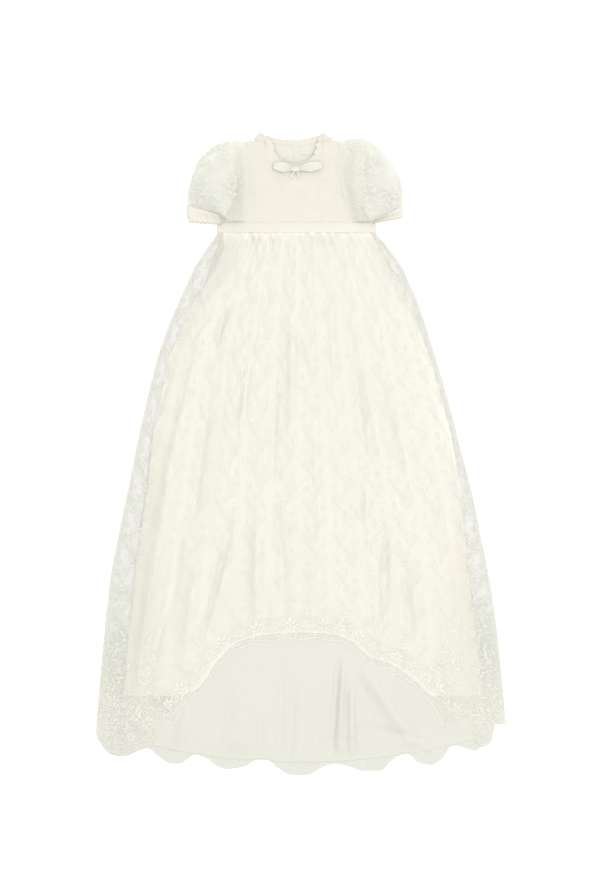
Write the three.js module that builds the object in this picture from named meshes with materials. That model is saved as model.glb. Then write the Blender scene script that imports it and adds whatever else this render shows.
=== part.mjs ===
// Christening gown laid flat on its back: X across, Y from hem to neck, Z up from the surface.
// All sizes are in millimetres. The origin is under the middle of the gown, on the surface.
import * as THREE from "three";

// Cloth and seams
const CLOTH = 1.2;
const FRONT_CLOTH = 1.4;
const SEAM_GAP = 0.3;

// Heights of the undersides of the layers above the surface
const BACK_LINING_BASE = CLOTH + SEAM_GAP;
const FRONT_LINING_BASE = BACK_LINING_BASE + CLOTH + SEAM_GAP;
const LACE_OVER_LINING = FRONT_CLOTH + SEAM_GAP;

// Lengths along the gown
const WAIST_TOP = 360;
const WAIST_BOTTOM = 344.5;
const SKIRT_TOP = WAIST_BOTTOM - SEAM_GAP;
const BODICE_BOTTOM = WAIST_TOP + SEAM_GAP;
const LINING_ABOVE_LACE_HEM = 12;
const FRONT_LINING_LOWEST = -376;
const BACK_LINING_HEM = -479;
const BACK_LINING_HEM_CURVE = 0.00049;
const LACE_BELOW_BACK_LINING = 3;

// Skirt side edges, by distance below the waistband
const SKIRT_SIDES = [
  { below: 0, left: -129, right: 116 },
  { below: 15, left: -141, right: 132 },
  { below: 30, left: -152, right: 148 },
  { below: 60, left: -169.5, right: 161 },
  { below: 104, left: -188.5, right: 182 },
  { below: 140, left: -206, right: 193.4 },
  { below: 179, left: -219, right: 206 },
  { below: 250, left: -238, right: 228 },
  { below: 328, left: -255, right: 247 },
  { below: 400, left: -269.5, right: 266.5 },
  { below: 478, left: -286, right: 282 },
  { below: 550, left: -299, right: 297.5 },
  { below: 627, left: -306.5, right: 307 },
  { below: 700, left: -313, right: 314 },
  { below: 776, left: -320, right: 321 },
];

// How far the lining stops inside the lace at each side
const LINING_INSETS = [
  { below: 0, left: 8, right: 8 },
  { below: 39, left: 36, right: 22 },
  { below: 104, left: 25, right: 16 },
  { below: 185, left: 18, right: 9 },
  { below: 306, left: 21, right: 9 },
  { below: 425, left: 33, right: 19 },
  { below: 570, left: 38, right: 34 },
  { below: 717, left: 39, right: 33 },
];

// Front hem: the legs reach the bottom and the middle rises in an arch.
// Across runs from -1 at the left edge of the skirt to 1 at the right edge.
const FRONT_HEM = [
  { across: -1, y: -434 },
  { across: -0.965, y: -455 },
  { across: -0.91, y: -469 },
  { across: -0.855, y: -470 },
  { across: -0.79, y: -462 },
  { across: -0.747, y: -457.5 },
  { across: -0.715, y: -450 },
  { across: -0.69, y: -424 },
  { across: -0.655, y: -420 },
  { across: -0.605, y: -418 },
  { across: -0.59, y: -400 },
  { across: -0.57, y: -384 },
  { across: -0.51, y: -376 },
  { across: -0.467, y: -358 },
  { across: -0.413, y: -330 },
  { across: -0.309, y: -303 },
  { across: -0.163, y: -292 },
  { across: 0, y: -289 },
  { across: 0.147, y: -291 },
  { across: 0.26, y: -303 },
  { across: 0.339, y: -326 },
  { across: 0.451, y: -338 },
  { across: 0.56, y: -362 },
  { across: 0.65, y: -395 },
  { across: 0.69, y: -428 },
  { across: 0.745, y: -420 },
  { across: 0.8, y: -409 },
  { across: 0.834, y: -407 },
  { across: 0.852, y: -452 },
  { across: 0.87, y: -456.5 },
  { across: 0.91, y: -453 },
  { across: 0.925, y: -447 },
  { across: 0.935, y: -421 },
  { across: 1, y: -419.5 },
];

// Back hem: rows along its uneven scallops
const BACK_HEM = [
  { across: -1, y: -434 },
  { across: -0.965, y: -455 },
  { across: -0.91, y: -469 },
  { across: -0.855, y: -470 },
  { across: -0.79, y: -462 },
  { across: -0.747, y: -457.5 },
  { across: -0.695, y: -470 },
  { across: -0.63, y: -482 },
  { across: -0.59, y: -482 },
  { across: -0.515, y: -468 },
  { across: -0.46, y: -473 },
  { across: -0.41, y: -486 },
  { across: -0.36, y: -490 },
  { across: -0.28, y: -487 },
  { across: -0.21, y: -476 },
  { across: -0.165, y: -476 },
  { across: -0.11, y: -489.5 },
  { across: -0.05, y: -499 },
  { across: 0.005, y: -500 },
  { across: 0.05, y: -497.5 },
  { across: 0.1, y: -487.5 },
  { across: 0.165, y: -482 },
  { across: 0.24, y: -487 },
  { across: 0.3, y: -493 },
  { across: 0.395, y: -493 },
  { across: 0.42, y: -483 },
  { across: 0.475, y: -469.6 },
  { across: 0.515, y: -466.5 },
  { across: 0.57, y: -480 },
  { across: 0.63, y: -484 },
  { across: 0.69, y: -472.5 },
  { across: 0.73, y: -454.5 },
  { across: 0.75, y: -454 },
  { across: 0.83, y: -461 },
  { across: 0.846, y: -462.5 },
  { across: 0.87, y: -456.5 },
  { across: 0.91, y: -453 },
  { across: 0.925, y: -447 },
  { across: 0.935, y: -421 },
  { across: 1, y: -419.5 },
];

// How far the front stands above the back, by distance below the waistband
const SKIRT_LOFT = [
  { below: 0, height: 4 },
  { below: 80, height: 3.8 },
  { below: 300, height: 3 },
  { below: 550, height: 2.6 },
  { below: 780, height: 1.2 },
];
const EDGE_ROUND = 5;

// Gathers under the waistband
const GATHERS = 18;
const GATHER_HEIGHT = 2;
const GATHER_REACH = 230;
const GATHER_DRIFT = [
  { amount: 0.02, rate: 5, start: 1 },
  { amount: 0.012, rate: 13, start: 0 },
];

// Main folds of the skirt front: ridges stand up, creases have a negative height.
// Top and hem give the place across the skirt, from and to the reach below the waistband.
const SKIRT_FOLDS = [
  { top: -0.66, hem: -0.85, from: 110, to: 800, half_width: 26, height: 4.5 },
  { top: -0.58, hem: -0.74, from: 60, to: 760, half_width: 18, height: -2.5 },
  { top: -0.36, hem: -0.56, from: 50, to: 700, half_width: 22, height: 4 },
  { top: -0.2, hem: -0.22, from: 260, to: 690, half_width: 16, height: 3.5 },
  { top: -0.14, hem: -0.06, from: 400, to: 690, half_width: 9, height: -2.5 },
  { top: -0.04, hem: -0.05, from: 30, to: 450, half_width: 15, height: 3 },
  { top: 0.02, hem: 0.11, from: 340, to: 720, half_width: 18, height: 3.5 },
  { top: 0.16, hem: 0.26, from: 30, to: 420, half_width: 16, height: 2.5 },
  { top: 0.36, hem: 0.7, from: 100, to: 620, half_width: 34, height: 4.5 },
  { top: 0.34, hem: 0.41, from: 350, to: 720, half_width: 16, height: 3.5 },
  { top: 0.42, hem: 0.48, from: 490, to: 740, half_width: 12, height: -3 },
  { top: 0.68, hem: 0.82, from: 300, to: 840, half_width: 26, height: 3 },
];
const FOLD_LENGTH = 800;
const FOLD_NARROWEST = 0.5;

// Pleats of the back lining, seen inside under the arch
const LINING_PLEATS = [
  { top: -84, hem: -92, half_width: 26, height: 1.8 },
  { top: -12, hem: -13, half_width: 7, height: 1.5 },
  { top: 60, hem: 74, half_width: 14, height: 4.5 },
  { top: 118, hem: 160, half_width: 24, height: 3 },
];
const PLEATS_START = -312;
const PLEATS_FULL = -385;

// Bodice side edges, by height
const BODICE_SIDES = [
  { y: 360, left: -122, right: 109 },
  { y: 388, left: -110, right: 95 },
  { y: 411, left: -97, right: 80.5 },
  { y: 435, left: -90, right: 69 },
  { y: 453, left: -89.4, right: 64.4 },
  { y: 474, left: -88.8, right: 65.4 },
  { y: 490, left: -88.5, right: 65.4 },
];
const BODICE_LOFT = 6;
const BODICE_TOP_LOFT = 0.3;
const SHOULDER_OUTER = 487;
const SHOULDER_INNER = 490;

// Neck frill: seam and free edge, from the left tip round to the right tip
const FRONT_FRILL = [
  { seam_x: -58, seam_y: 490, edge_x: -72, edge_y: 496 },
  { seam_x: -54.8, seam_y: 486.5, edge_x: -63, edge_y: 500 },
  { seam_x: -53.5, seam_y: 478, edge_x: -44, edge_y: 484 },
  { seam_x: -51, seam_y: 464, edge_x: -40, edge_y: 469 },
  { seam_x: -41.5, seam_y: 451, edge_x: -32, edge_y: 460 },
  { seam_x: -26, seam_y: 442.5, edge_x: -21, edge_y: 454 },
  { seam_x: -10, seam_y: 439.5, edge_x: -10, edge_y: 451.5 },
  { seam_x: 6.5, seam_y: 442.5, edge_x: 3, edge_y: 454 },
  { seam_x: 22, seam_y: 451, edge_x: 14, edge_y: 460 },
  { seam_x: 31.5, seam_y: 464, edge_x: 21.5, edge_y: 469 },
  { seam_x: 33, seam_y: 478, edge_x: 25, edge_y: 484 },
  { seam_x: 33.4, seam_y: 486.5, edge_x: 34, edge_y: 500 },
  { seam_x: 36, seam_y: 490, edge_x: 45, edge_y: 494 },
];
const BACK_FRILL = [
  { seam_x: -58, seam_y: 490.3, edge_x: -65, edge_y: 499 },
  { seam_x: -44, seam_y: 485, edge_x: -49, edge_y: 495 },
  { seam_x: -28, seam_y: 481.3, edge_x: -30, edge_y: 490.5 },
  { seam_x: -11, seam_y: 480.3, edge_x: -11, edge_y: 489 },
  { seam_x: 6, seam_y: 481.3, edge_x: 8, edge_y: 491.5 },
  { seam_x: 22, seam_y: 485, edge_x: 23.5, edge_y: 495.5 },
  { seam_x: 36, seam_y: 490.3, edge_x: 38, edge_y: 498 },
];
const FRONT_FRILL_WAVES = 20;
const BACK_FRILL_WAVES = 9;
const FRILL_WAVE_HEIGHT = 1.8;
const FRONT_FRILL_BASE = 3.4;
const FRONT_FRILL_RISE = 1.6;

// Sleeves: a row for each section, from the armhole to the cuff seam.
// The outer end follows the puff, the inner end the underarm, where lift clears the bodice.
const SLEEVE_LEFT = [
  { outer_x: -89.5, outer_y: 487, inner_x: -89.5, inner_y: 363, height: 13, lift: 8.5 },
  { outer_x: -105.5, outer_y: 489, inner_x: -95, inner_y: 362.5, height: 23, lift: 8.5 },
  { outer_x: -124, outer_y: 484, inner_x: -100, inner_y: 362, height: 30, lift: 8.5 },
  { outer_x: -143, outer_y: 473, inner_x: -105.5, inner_y: 362, height: 34, lift: 8.5 },
  { outer_x: -158.5, outer_y: 456.5, inner_x: -111, inner_y: 362, height: 34, lift: 8.5 },
  { outer_x: -168.5, outer_y: 433, inner_x: -115.5, inner_y: 363, height: 31, lift: 6 },
  { outer_x: -174.5, outer_y: 408, inner_x: -119.5, inner_y: 366, height: 24, lift: 3 },
  { outer_x: -176, outer_y: 387, inner_x: -123, inner_y: 367, height: 15, lift: 0 },
];
const SLEEVE_RIGHT = [
  { outer_x: 66, outer_y: 487, inner_x: 86, inner_y: 362, height: 13, lift: 8.5, bend: 1 },
  { outer_x: 86, outer_y: 491, inner_x: 91, inner_y: 361.5, height: 23, lift: 8.5, bend: 0.7 },
  { outer_x: 105, outer_y: 488, inner_x: 95.5, inner_y: 361.5, height: 30, lift: 8.5, bend: 0.4 },
  { outer_x: 123, outer_y: 475, inner_x: 100, inner_y: 361.5, height: 34, lift: 8.5, bend: 0.1 },
  { outer_x: 139, outer_y: 458, inner_x: 104, inner_y: 362, height: 34, lift: 8.5 },
  { outer_x: 153.5, outer_y: 434, inner_x: 107.5, inner_y: 363.5, height: 31, lift: 6 },
  { outer_x: 160, outer_y: 410, inner_x: 111.5, inner_y: 367, height: 24, lift: 3 },
  { outer_x: 160.2, outer_y: 389, inner_x: 116, inner_y: 368, height: 15, lift: 0 },
];
// How far the right armhole bends towards the bodice, from shoulder to underarm.
// Each row of the sleeve takes its share of this bend.
const ARMHOLE_BEND = [
  { toward: 0, left: 0 },
  { toward: 0.15, left: 2.6 },
  { toward: 0.42, left: 9.5 },
  { toward: 0.67, left: 8 },
  { toward: 0.88, left: 4 },
  { toward: 1, left: 0 },
];
const UNDERARM_FROM = 0.15;
const UNDERARM_FULL = 0.42;
const SLEEVE_GATHERS = 9;
const SLEEVE_GATHER_HEIGHT = 1.2;

// Cuffs: a row for each section, from the cuff seam to the free edge
const CUFF_LEFT = [
  { outer_x: -176.2, outer_y: 386.2, inner_x: -123.2, inner_y: 366.2, height: 14, lift: 0 },
  { outer_x: -176.5, outer_y: 377, inner_x: -128.5, inner_y: 358, height: 13, lift: 0 },
  { outer_x: -179.5, outer_y: 366, inner_x: -135, inner_y: 348.5, height: 15, lift: 0 },
];
const CUFF_RIGHT = [
  { outer_x: 160.3, outer_y: 388.2, inner_x: 116.2, inner_y: 367.2, height: 14, lift: 0 },
  { outer_x: 159.5, outer_y: 379, inner_x: 118, inner_y: 364.5, height: 13, lift: 0 },
  { outer_x: 160.5, outer_y: 369.5, inner_x: 120, inner_y: 361.5, height: 15, lift: 0 },
];
const CUFF_WAVES = 8;
const CUFF_WAVE_HEIGHT = 2.2;

// Bow on the front neck
const BOW_X = -8;
const BOW_Y = 443;
const BOW_Z = 10.5;
const BOW_LOOP_LEFT = 31;
const BOW_LOOP_RIGHT = 38;
const BOW_LOOP_HEIGHT = 7;
const BOW_RIBBON = 16;
const BOW_KNOT = 8;
const BOW_TILT = 0.15;
const BOW_TAIL_LENGTH = 12;
const BOW_TAIL_WIDTH = 6;

// Smooth curve through the rows of a table, level at each high and low point.
function through(rows, key, value) {
  const keys = rows.map((row) => row[key]);
  const values = rows.map((row) => row[value]);
  const last = keys.length - 1;
  const steps = keys.slice(1).map((end, i) => (values[i + 1] - values[i]) / (end - keys[i]));
  const slopes = keys.map((_, i) => {
    if (i === 0 || i === last) {
      return 0;
    }
    const product = steps[i - 1] * steps[i];
    return product > 0 ? (2 * product) / (steps[i - 1] + steps[i]) : 0;
  });
  slopes[0] = steps[0];
  slopes[last] = steps[last - 1];
  return (at) => {
    const place = THREE.MathUtils.clamp(at, keys[0], keys[last]);
    const i = Math.max(0, Math.min(last - 1, keys.findIndex((end) => end >= place) - 1));
    const span = keys[i + 1] - keys[i];
    const t = (place - keys[i]) / span;
    const start = (1 + 2 * t) * (1 - t) ** 2 * values[i] + t * (1 - t) ** 2 * span * slopes[i];
    const end = t * t * (3 - 2 * t) * values[i + 1] + t * t * (t - 1) * span * slopes[i + 1];
    return start + end;
  };
}

const ease = (t) => THREE.MathUtils.smoothstep(t, 0, 1);
const mix = THREE.MathUtils.lerp;
const evenly = (count) => Array.from({ length: count + 1 }, (_, i) => i / count);

// Closed mesh from corner points and four-sided faces, turned so that it faces outward.
function closedMesh(points, quads) {
  const index = quads.flatMap(([a, b, c, d]) => [a, b, c, a, c, d]);
  const corner = (i) => points[index[i]];
  let volume = 0;
  for (let i = 0; i < index.length; i += 3) {
    volume += corner(i).dot(new THREE.Vector3().crossVectors(corner(i + 1), corner(i + 2)));
  }
  const geometry = new THREE.BufferGeometry().setFromPoints(points);
  geometry.setIndex(volume > 0 ? index : index.reverse());
  geometry.computeVertexNormals();
  return geometry;
}

// Cloth wall over a grid: under(a, b) is its underside, and its face lies one thickness above.
function sheetWall(across, along, under, thickness) {
  const wide = across.length;
  const count = wide * along.length;
  const underside = along.flatMap((b) => across.map((a) => under(a, b)));
  const face = underside.map((point) => point.clone().setZ(point.z + thickness));
  const quads = [];
  for (let j = 0; j < along.length - 1; j++) {
    for (let i = 0; i < wide - 1; i++) {
      const [a, b, c, d] = [j * wide + i, j * wide + i + 1, (j + 1) * wide + i + 1, (j + 1) * wide + i];
      quads.push([a + count, b + count, c + count, d + count], [a, d, c, b]);
    }
  }
  const rim = [];
  for (let i = 0; i < wide; i++) {
    rim.push(i);
  }
  for (let j = 1; j < along.length; j++) {
    rim.push(j * wide + wide - 1);
  }
  for (let i = wide - 2; i >= 0; i--) {
    rim.push(count - wide + i);
  }
  for (let j = along.length - 2; j > 0; j--) {
    rim.push(j * wide);
  }
  rim.forEach((k, i) => {
    const next = rim[(i + 1) % rim.length];
    quads.push([k, next, next + count, k + count]);
  });
  return closedMesh([...underside, ...face], quads);
}

// Tube of cloth through nested rings of points, open at both ends.
function tubeWall(outerRings, innerRings) {
  const around = outerRings[0].length;
  const count = around * outerRings.length;
  const quads = [];
  const at = (ring, k) => ring * around + (k % around);
  for (let k = 0; k < around; k++) {
    for (let ring = 0; ring < outerRings.length - 1; ring++) {
      const [a, b, c, d] = [at(ring, k), at(ring, k + 1), at(ring + 1, k + 1), at(ring + 1, k)];
      quads.push([a, b, c, d], [a + count, d + count, c + count, b + count]);
    }
    const end = outerRings.length - 1;
    quads.push([at(0, k + 1), at(0, k), at(0, k) + count, at(0, k + 1) + count]);
    quads.push([at(end, k), at(end, k + 1), at(end, k + 1) + count, at(end, k) + count]);
  }
  return closedMesh([...outerRings.flat(), ...innerRings.flat()], quads);
}

// Flattened ring of a sleeve: level underneath, domed above, lifted where it lies on the bodice.
const RING_ABOVE = 26;
const RING_BELOW = 8;
const RING_MIDDLE = 0.35;
const LEVEL_PART = 0.75;
const LIFTED_HEIGHT = 0.62;
const DOME_POWER = 2.4;
const armholeBend = through(ARMHOLE_BEND, "toward", "left");
function flatRing(row, inset, wave) {
  const bend = row.bend ?? 0;
  const outer = new THREE.Vector2(row.outer_x, row.outer_y);
  const inner = new THREE.Vector2(row.inner_x, row.inner_y);
  const reach = inner.clone().sub(outer).normalize().multiplyScalar(inset);
  outer.add(reach);
  inner.sub(reach);
  const place = (side, above) => {
    const toward = (1 + side) / 2;
    const plan = outer.clone().lerp(inner, toward);
    plan.x -= bend * armholeBend(toward);
    const raised = row.lift * ease((toward - UNDERARM_FROM) / (UNDERARM_FULL - UNDERARM_FROM));
    const floor = raised + inset;
    const summit = Math.max(row.height, raised + row.height * LIFTED_HEIGHT);
    const top = summit - inset;
    const middle = mix(raised, summit, RING_MIDDLE);
    const dome = Math.sqrt(Math.max(0, 1 - Math.abs(side) ** DOME_POWER));
    const level = ease((Math.abs(side) - LEVEL_PART) / (1 - LEVEL_PART));
    const crown = mix(middle, top, dome) + wave(toward) * dome;
    return new THREE.Vector3(plan.x, plan.y, above ? crown : mix(floor, middle, level));
  };
  const ring = [];
  for (let k = 0; k < RING_ABOVE; k++) {
    ring.push(place(-Math.cos((Math.PI * k) / RING_ABOVE), true));
  }
  for (let k = 0; k < RING_BELOW; k++) {
    ring.push(place(Math.cos((Math.PI * k) / RING_BELOW), false));
  }
  return ring;
}

// Tube through flattened rings, its waves given by the place along and across it.
function ringTube(rows, wave) {
  const rings = (inset) =>
    rows.map((row, i) => flatRing(row, inset, (toward) => wave(i / (rows.length - 1), toward)));
  return tubeWall(rings(0), rings(CLOTH));
}

// Flat cloth of one thickness from an outline of points.
function flatCloth(outline, thickness) {
  return new THREE.ExtrudeGeometry(new THREE.Shape(outline), {
    depth: thickness,
    bevelEnabled: false,
  });
}

const gown = new THREE.Group();
gown.name = "christening_gown";

function addPiece(name, geometry, colour, roughness, parent = gown) {
  const material = new THREE.MeshStandardMaterial({ color: colour, roughness, metalness: 0 });
  const mesh = new THREE.Mesh(geometry, material);
  mesh.name = name;
  parent.add(mesh);
  return mesh;
}

const LACE_COLOUR = 0xf1eee0;
const LINING_COLOUR = 0xefece0;
const RIBBON_COLOUR = 0xf6f3e6;

// Skirt plan
const sideLeft = through(SKIRT_SIDES, "below", "left");
const sideRight = through(SKIRT_SIDES, "below", "right");
const insetLeft = through(LINING_INSETS, "below", "left");
const insetRight = through(LINING_INSETS, "below", "right");
const frontHem = through(FRONT_HEM, "across", "y");
const backHem = through(BACK_HEM, "across", "y");
const loft = through(SKIRT_LOFT, "below", "height");

function skirtX(across, y) {
  const below = SKIRT_TOP - y;
  return mix(sideLeft(below), sideRight(below), (across + 1) / 2);
}

function acrossAt(x, y) {
  const below = SKIRT_TOP - y;
  return (2 * (x - sideLeft(below))) / (sideRight(below) - sideLeft(below)) - 1;
}

function liningX(across, y) {
  const below = SKIRT_TOP - y;
  const left = sideLeft(below) + insetLeft(below);
  const right = sideRight(below) - insetRight(below);
  return mix(left, right, (across + 1) / 2);
}

// Rise of the skirt front above its flat lay: loft, gathers and main folds.
function skirtRise(x, y) {
  const below = SKIRT_TOP - y;
  const across = acrossAt(x, y);
  const half = (sideRight(below) - sideLeft(below)) / 2;
  const drift = (sum, { amount, rate, start }) => sum + amount * Math.sin(rate * across + start);
  const uneven = GATHER_DRIFT.reduce(drift, across);
  const gather = 0.5 + 0.5 * Math.cos(Math.PI * GATHERS * uneven);
  let height = loft(below) + GATHER_HEIGHT * gather * (1 - ease(below / GATHER_REACH));
  for (const fold of SKIRT_FOLDS) {
    const along = below / FOLD_LENGTH;
    const offset = (across - mix(fold.top, fold.hem, along)) * half;
    const width = fold.half_width * mix(FOLD_NARROWEST, 1, along);
    const course = THREE.MathUtils.clamp((below - fold.from) / (fold.to - fold.from), 0, 1);
    const reach = Math.sin(Math.PI * course);
    height += fold.height * Math.sqrt(reach) * Math.exp(-((offset / width) ** 2));
  }
  return Math.max(0, height) * (1 - Math.abs(across) ** EDGE_ROUND);
}

// Skirt front: the lining's points come first and the lace is made from them, moved out.
const SKIRT_COLUMNS = 72;
const SKIRT_ROWS = [0, 0.03, 0.08, 0.16, 0.27, 0.41, 0.56, 0.71, 0.86, 1];
const SIDE_STRIP_COLUMNS = 4;
const HEM_ROWS = 2;
const HEM_SETTLE = 0.45;
const liningColumns = evenly(SKIRT_COLUMNS).map((t) => 2 * t - 1);

// Height where a column that leans with the skirt meets a hem given by the place across.
const SETTLE_STEPS = 12;
const SETTLE_SHARE = 0.7;
function settled(guess, step) {
  let value = guess;
  for (let i = 0; i < SETTLE_STEPS; i++) {
    value = mix(value, step(value), SETTLE_SHARE);
  }
  return value;
}

const hemUnder = (plan) => settled(FRONT_LINING_LOWEST, (y) => frontHem(acrossAt(plan(y), y)));
const liningHem = (laceHem) => Math.max(laceHem + LINING_ABOVE_LACE_HEM, FRONT_LINING_LOWEST);

function frontLiningUnder(across, along) {
  const plan = (y) => liningX(across, y);
  const y = mix(SKIRT_TOP, liningHem(hemUnder(plan)), along);
  const x = plan(y);
  return new THREE.Vector3(x, y, FRONT_LINING_BASE + skirtRise(x, y));
}
addPiece(
  "skirt_front_lining",
  sheetWall(liningColumns, SKIRT_ROWS, frontLiningUnder, FRONT_CLOTH),
  LINING_COLOUR,
  0.75,
);

// Columns past 1 or -1 lie in the sheer strip beside the lining, rows past 1 below its hem.
const strip = evenly(SIDE_STRIP_COLUMNS).slice(1);
const laceColumns = [...strip.map((t) => -1 - t).reverse(), ...liningColumns, ...strip.map((t) => 1 + t)];
const laceRows = [...SKIRT_ROWS, ...evenly(HEM_ROWS).slice(1).map((t) => 1 + t)];

function frontLaceUnder(column, row) {
  const inside = THREE.MathUtils.clamp(column, -1, 1);
  const beside = Math.abs(column) - Math.abs(inside);
  const plan = (y) => mix(liningX(inside, y), skirtX(Math.sign(column), y), beside);
  const hem = hemUnder(plan);
  const below = Math.max(0, row - 1);
  const y = mix(mix(SKIRT_TOP, liningHem(hem), Math.min(row, 1)), hem, below);
  const x = plan(y);
  const rise = skirtRise(x, y) * (1 - HEM_SETTLE * ease(below));
  const drop = (FRONT_LINING_BASE + LACE_OVER_LINING - BACK_LINING_BASE) * ease(beside);
  const hemDrop = (LACE_OVER_LINING - SEAM_GAP) * ease(below) * (1 - ease(beside));
  const z = FRONT_LINING_BASE + LACE_OVER_LINING + rise - drop - hemDrop;
  return new THREE.Vector3(x, y, z);
}
addPiece(
  "skirt_front_lace",
  sheetWall(laceColumns, laceRows, frontLaceUnder, FRONT_CLOTH),
  LACE_COLOUR,
  0.85,
);

// Skirt back: flat lace with the scalloped hem, and the lining that shows inside the arch.
const SIDE_STEPS = 16;
const HEM_STEPS = 128;
function backLaceOutline() {
  const edge = (side) => {
    const corner = backHem(side);
    return evenly(SIDE_STEPS).map((t) => {
      const y = mix(SKIRT_TOP, corner, t);
      return new THREE.Vector2(skirtX(side, y), y);
    });
  };
  const hem = evenly(HEM_STEPS)
    .slice(1, -1)
    .map((t) => {
      const across = 2 * t - 1;
      const y = backHem(across);
      return new THREE.Vector2(skirtX(across, y), y);
    });
  return [...edge(-1), ...hem, ...edge(1).reverse()];
}
addPiece("skirt_back_lace", flatCloth(backLaceOutline(), CLOTH), LACE_COLOUR, 0.85);

const LINING_COLUMNS = 40;
const LINING_ROWS = [0, 0.4, 0.79, 0.84, 0.9, 0.95, 1];
function liningPleat(x, y) {
  const start = ease((PLEATS_START - y) / (PLEATS_START - PLEATS_FULL));
  const along = (PLEATS_START - y) / (PLEATS_START - BACK_LINING_HEM);
  return LINING_PLEATS.reduce((height, pleat) => {
    const offset = (x - mix(pleat.top, pleat.hem, along)) / pleat.half_width;
    return height + pleat.height * start * Math.exp(-(offset ** 2));
  }, 0);
}
function backLiningUnder(across, along) {
  const plan = (y) => liningX(across, y);
  const arc = (x) => BACK_LINING_HEM + BACK_LINING_HEM_CURVE * x * x;
  const lace = (x, y) => backHem(acrossAt(x, y)) + LACE_BELOW_BACK_LINING;
  const hem = settled(BACK_LINING_HEM, (y) => Math.max(arc(plan(y)), lace(plan(y), y)));
  const y = mix(SKIRT_TOP, hem, along);
  const x = plan(y);
  return new THREE.Vector3(x, y, BACK_LINING_BASE + liningPleat(x, y));
}
addPiece(
  "skirt_back_lining",
  sheetWall(evenly(LINING_COLUMNS).map((t) => 2 * t - 1), LINING_ROWS, backLiningUnder, CLOTH),
  LINING_COLOUR,
  0.75,
);

// Waistband: the front lies over the gathers and the back is flat.
const BAND_COLUMNS = 30;
const BAND_LOFT = 6.5;
const BAND_FLARE = 2;
const BAND_CLOTH = 1.6;
function bandUnder(across, along) {
  const y = mix(WAIST_BOTTOM, WAIST_TOP, along);
  const x = mix(sideLeft(0), sideRight(0), (across + 1) / 2) + BAND_FLARE * across * (1 - along);
  return new THREE.Vector3(x, y, BACK_LINING_BASE + BAND_LOFT * (1 - across ** 4));
}
addPiece(
  "waistband_front",
  sheetWall(evenly(BAND_COLUMNS).map((t) => 2 * t - 1), [0, 1], bandUnder, BAND_CLOTH),
  RIBBON_COLOUR,
  0.45,
);
const bandOutline = [
  new THREE.Vector2(sideLeft(0), WAIST_BOTTOM),
  new THREE.Vector2(sideRight(0), WAIST_BOTTOM),
  new THREE.Vector2(sideRight(0), WAIST_TOP),
  new THREE.Vector2(sideLeft(0), WAIST_TOP),
];
addPiece("waistband_back", flatCloth(bandOutline, CLOTH), RIBBON_COLOUR, 0.45);

// Bodice: the front is a sheet from the waistband up to the neck seam and shoulders.
const bodiceLeft = through(BODICE_SIDES, "y", "left");
const bodiceRight = through(BODICE_SIDES, "y", "right");
const NECK_LEFT = FRONT_FRILL[0].seam_x;
const NECK_RIGHT = FRONT_FRILL[FRONT_FRILL.length - 1].seam_x;
const BODICE_MIDDLE = (NECK_LEFT + NECK_RIGHT) / 2;

const neckRows = FRONT_FRILL.map((row, i) => ({ place: i / (FRONT_FRILL.length - 1), ...row }));
const frontSeamX = through(neckRows, "place", "seam_x");
const frontSeamY = through(neckRows, "place", "seam_y");

// Top edge of the front, as points from the left armhole over the neck to the right armhole.
const SHOULDER_STEPS = 3;
const NECK_STEPS = 26;
function frontTopEdge() {
  const shoulder = (outerX, innerX) =>
    evenly(SHOULDER_STEPS).map((t) => {
      return new THREE.Vector2(mix(outerX, innerX, t), mix(SHOULDER_OUTER, SHOULDER_INNER, ease(t)));
    });
  const left = shoulder(bodiceLeft(SHOULDER_OUTER), NECK_LEFT - SEAM_GAP);
  const right = shoulder(bodiceRight(SHOULDER_OUTER), NECK_RIGHT + SEAM_GAP).reverse();
  const neck = evenly(NECK_STEPS)
    .slice(1, -1)
    .map((t) => {
      const outward = new THREE.Vector2(frontSeamX(t) - BODICE_MIDDLE, frontSeamY(t) - SHOULDER_INNER);
      outward.normalize().multiplyScalar(SEAM_GAP);
      return new THREE.Vector2(frontSeamX(t) + outward.x, frontSeamY(t) + outward.y);
    });
  return [...left, ...neck, ...right];
}
const topEdge = frontTopEdge();
const BODICE_ROWS = evenly(6);
const STRAIGHT_SIDE = 3;

function bodiceFrontUnder(column, along) {
  const top = topEdge[column];
  const place = column / (topEdge.length - 1);
  const bottomX = mix(bodiceLeft(WAIST_TOP), bodiceRight(WAIST_TOP), place);
  const y = mix(BODICE_BOTTOM, top.y, along);
  const share = (top.x - bodiceLeft(top.y)) / (bodiceRight(top.y) - bodiceLeft(top.y));
  const sideways = mix(bodiceLeft(y), bodiceRight(y), share);
  const sidePart = ease(1 - STRAIGHT_SIDE * (1 - Math.abs(2 * place - 1)));
  const x = mix(mix(bottomX, sideways, ease(along)), sideways, sidePart);
  const across = (2 * (x - bodiceLeft(y))) / (bodiceRight(y) - bodiceLeft(y)) - 1;
  const shoulderward = ease((y - WAIST_TOP) / (SHOULDER_INNER - WAIST_TOP));
  const height = BODICE_LOFT * mix(1, BODICE_TOP_LOFT, shoulderward);
  return new THREE.Vector3(x, y, BACK_LINING_BASE + height * Math.max(0, 1 - Math.abs(across) ** 3));
}
addPiece(
  "bodice_front",
  sheetWall(topEdge.map((_, i) => i), BODICE_ROWS, bodiceFrontUnder, CLOTH),
  LACE_COLOUR,
  0.8,
);

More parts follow.
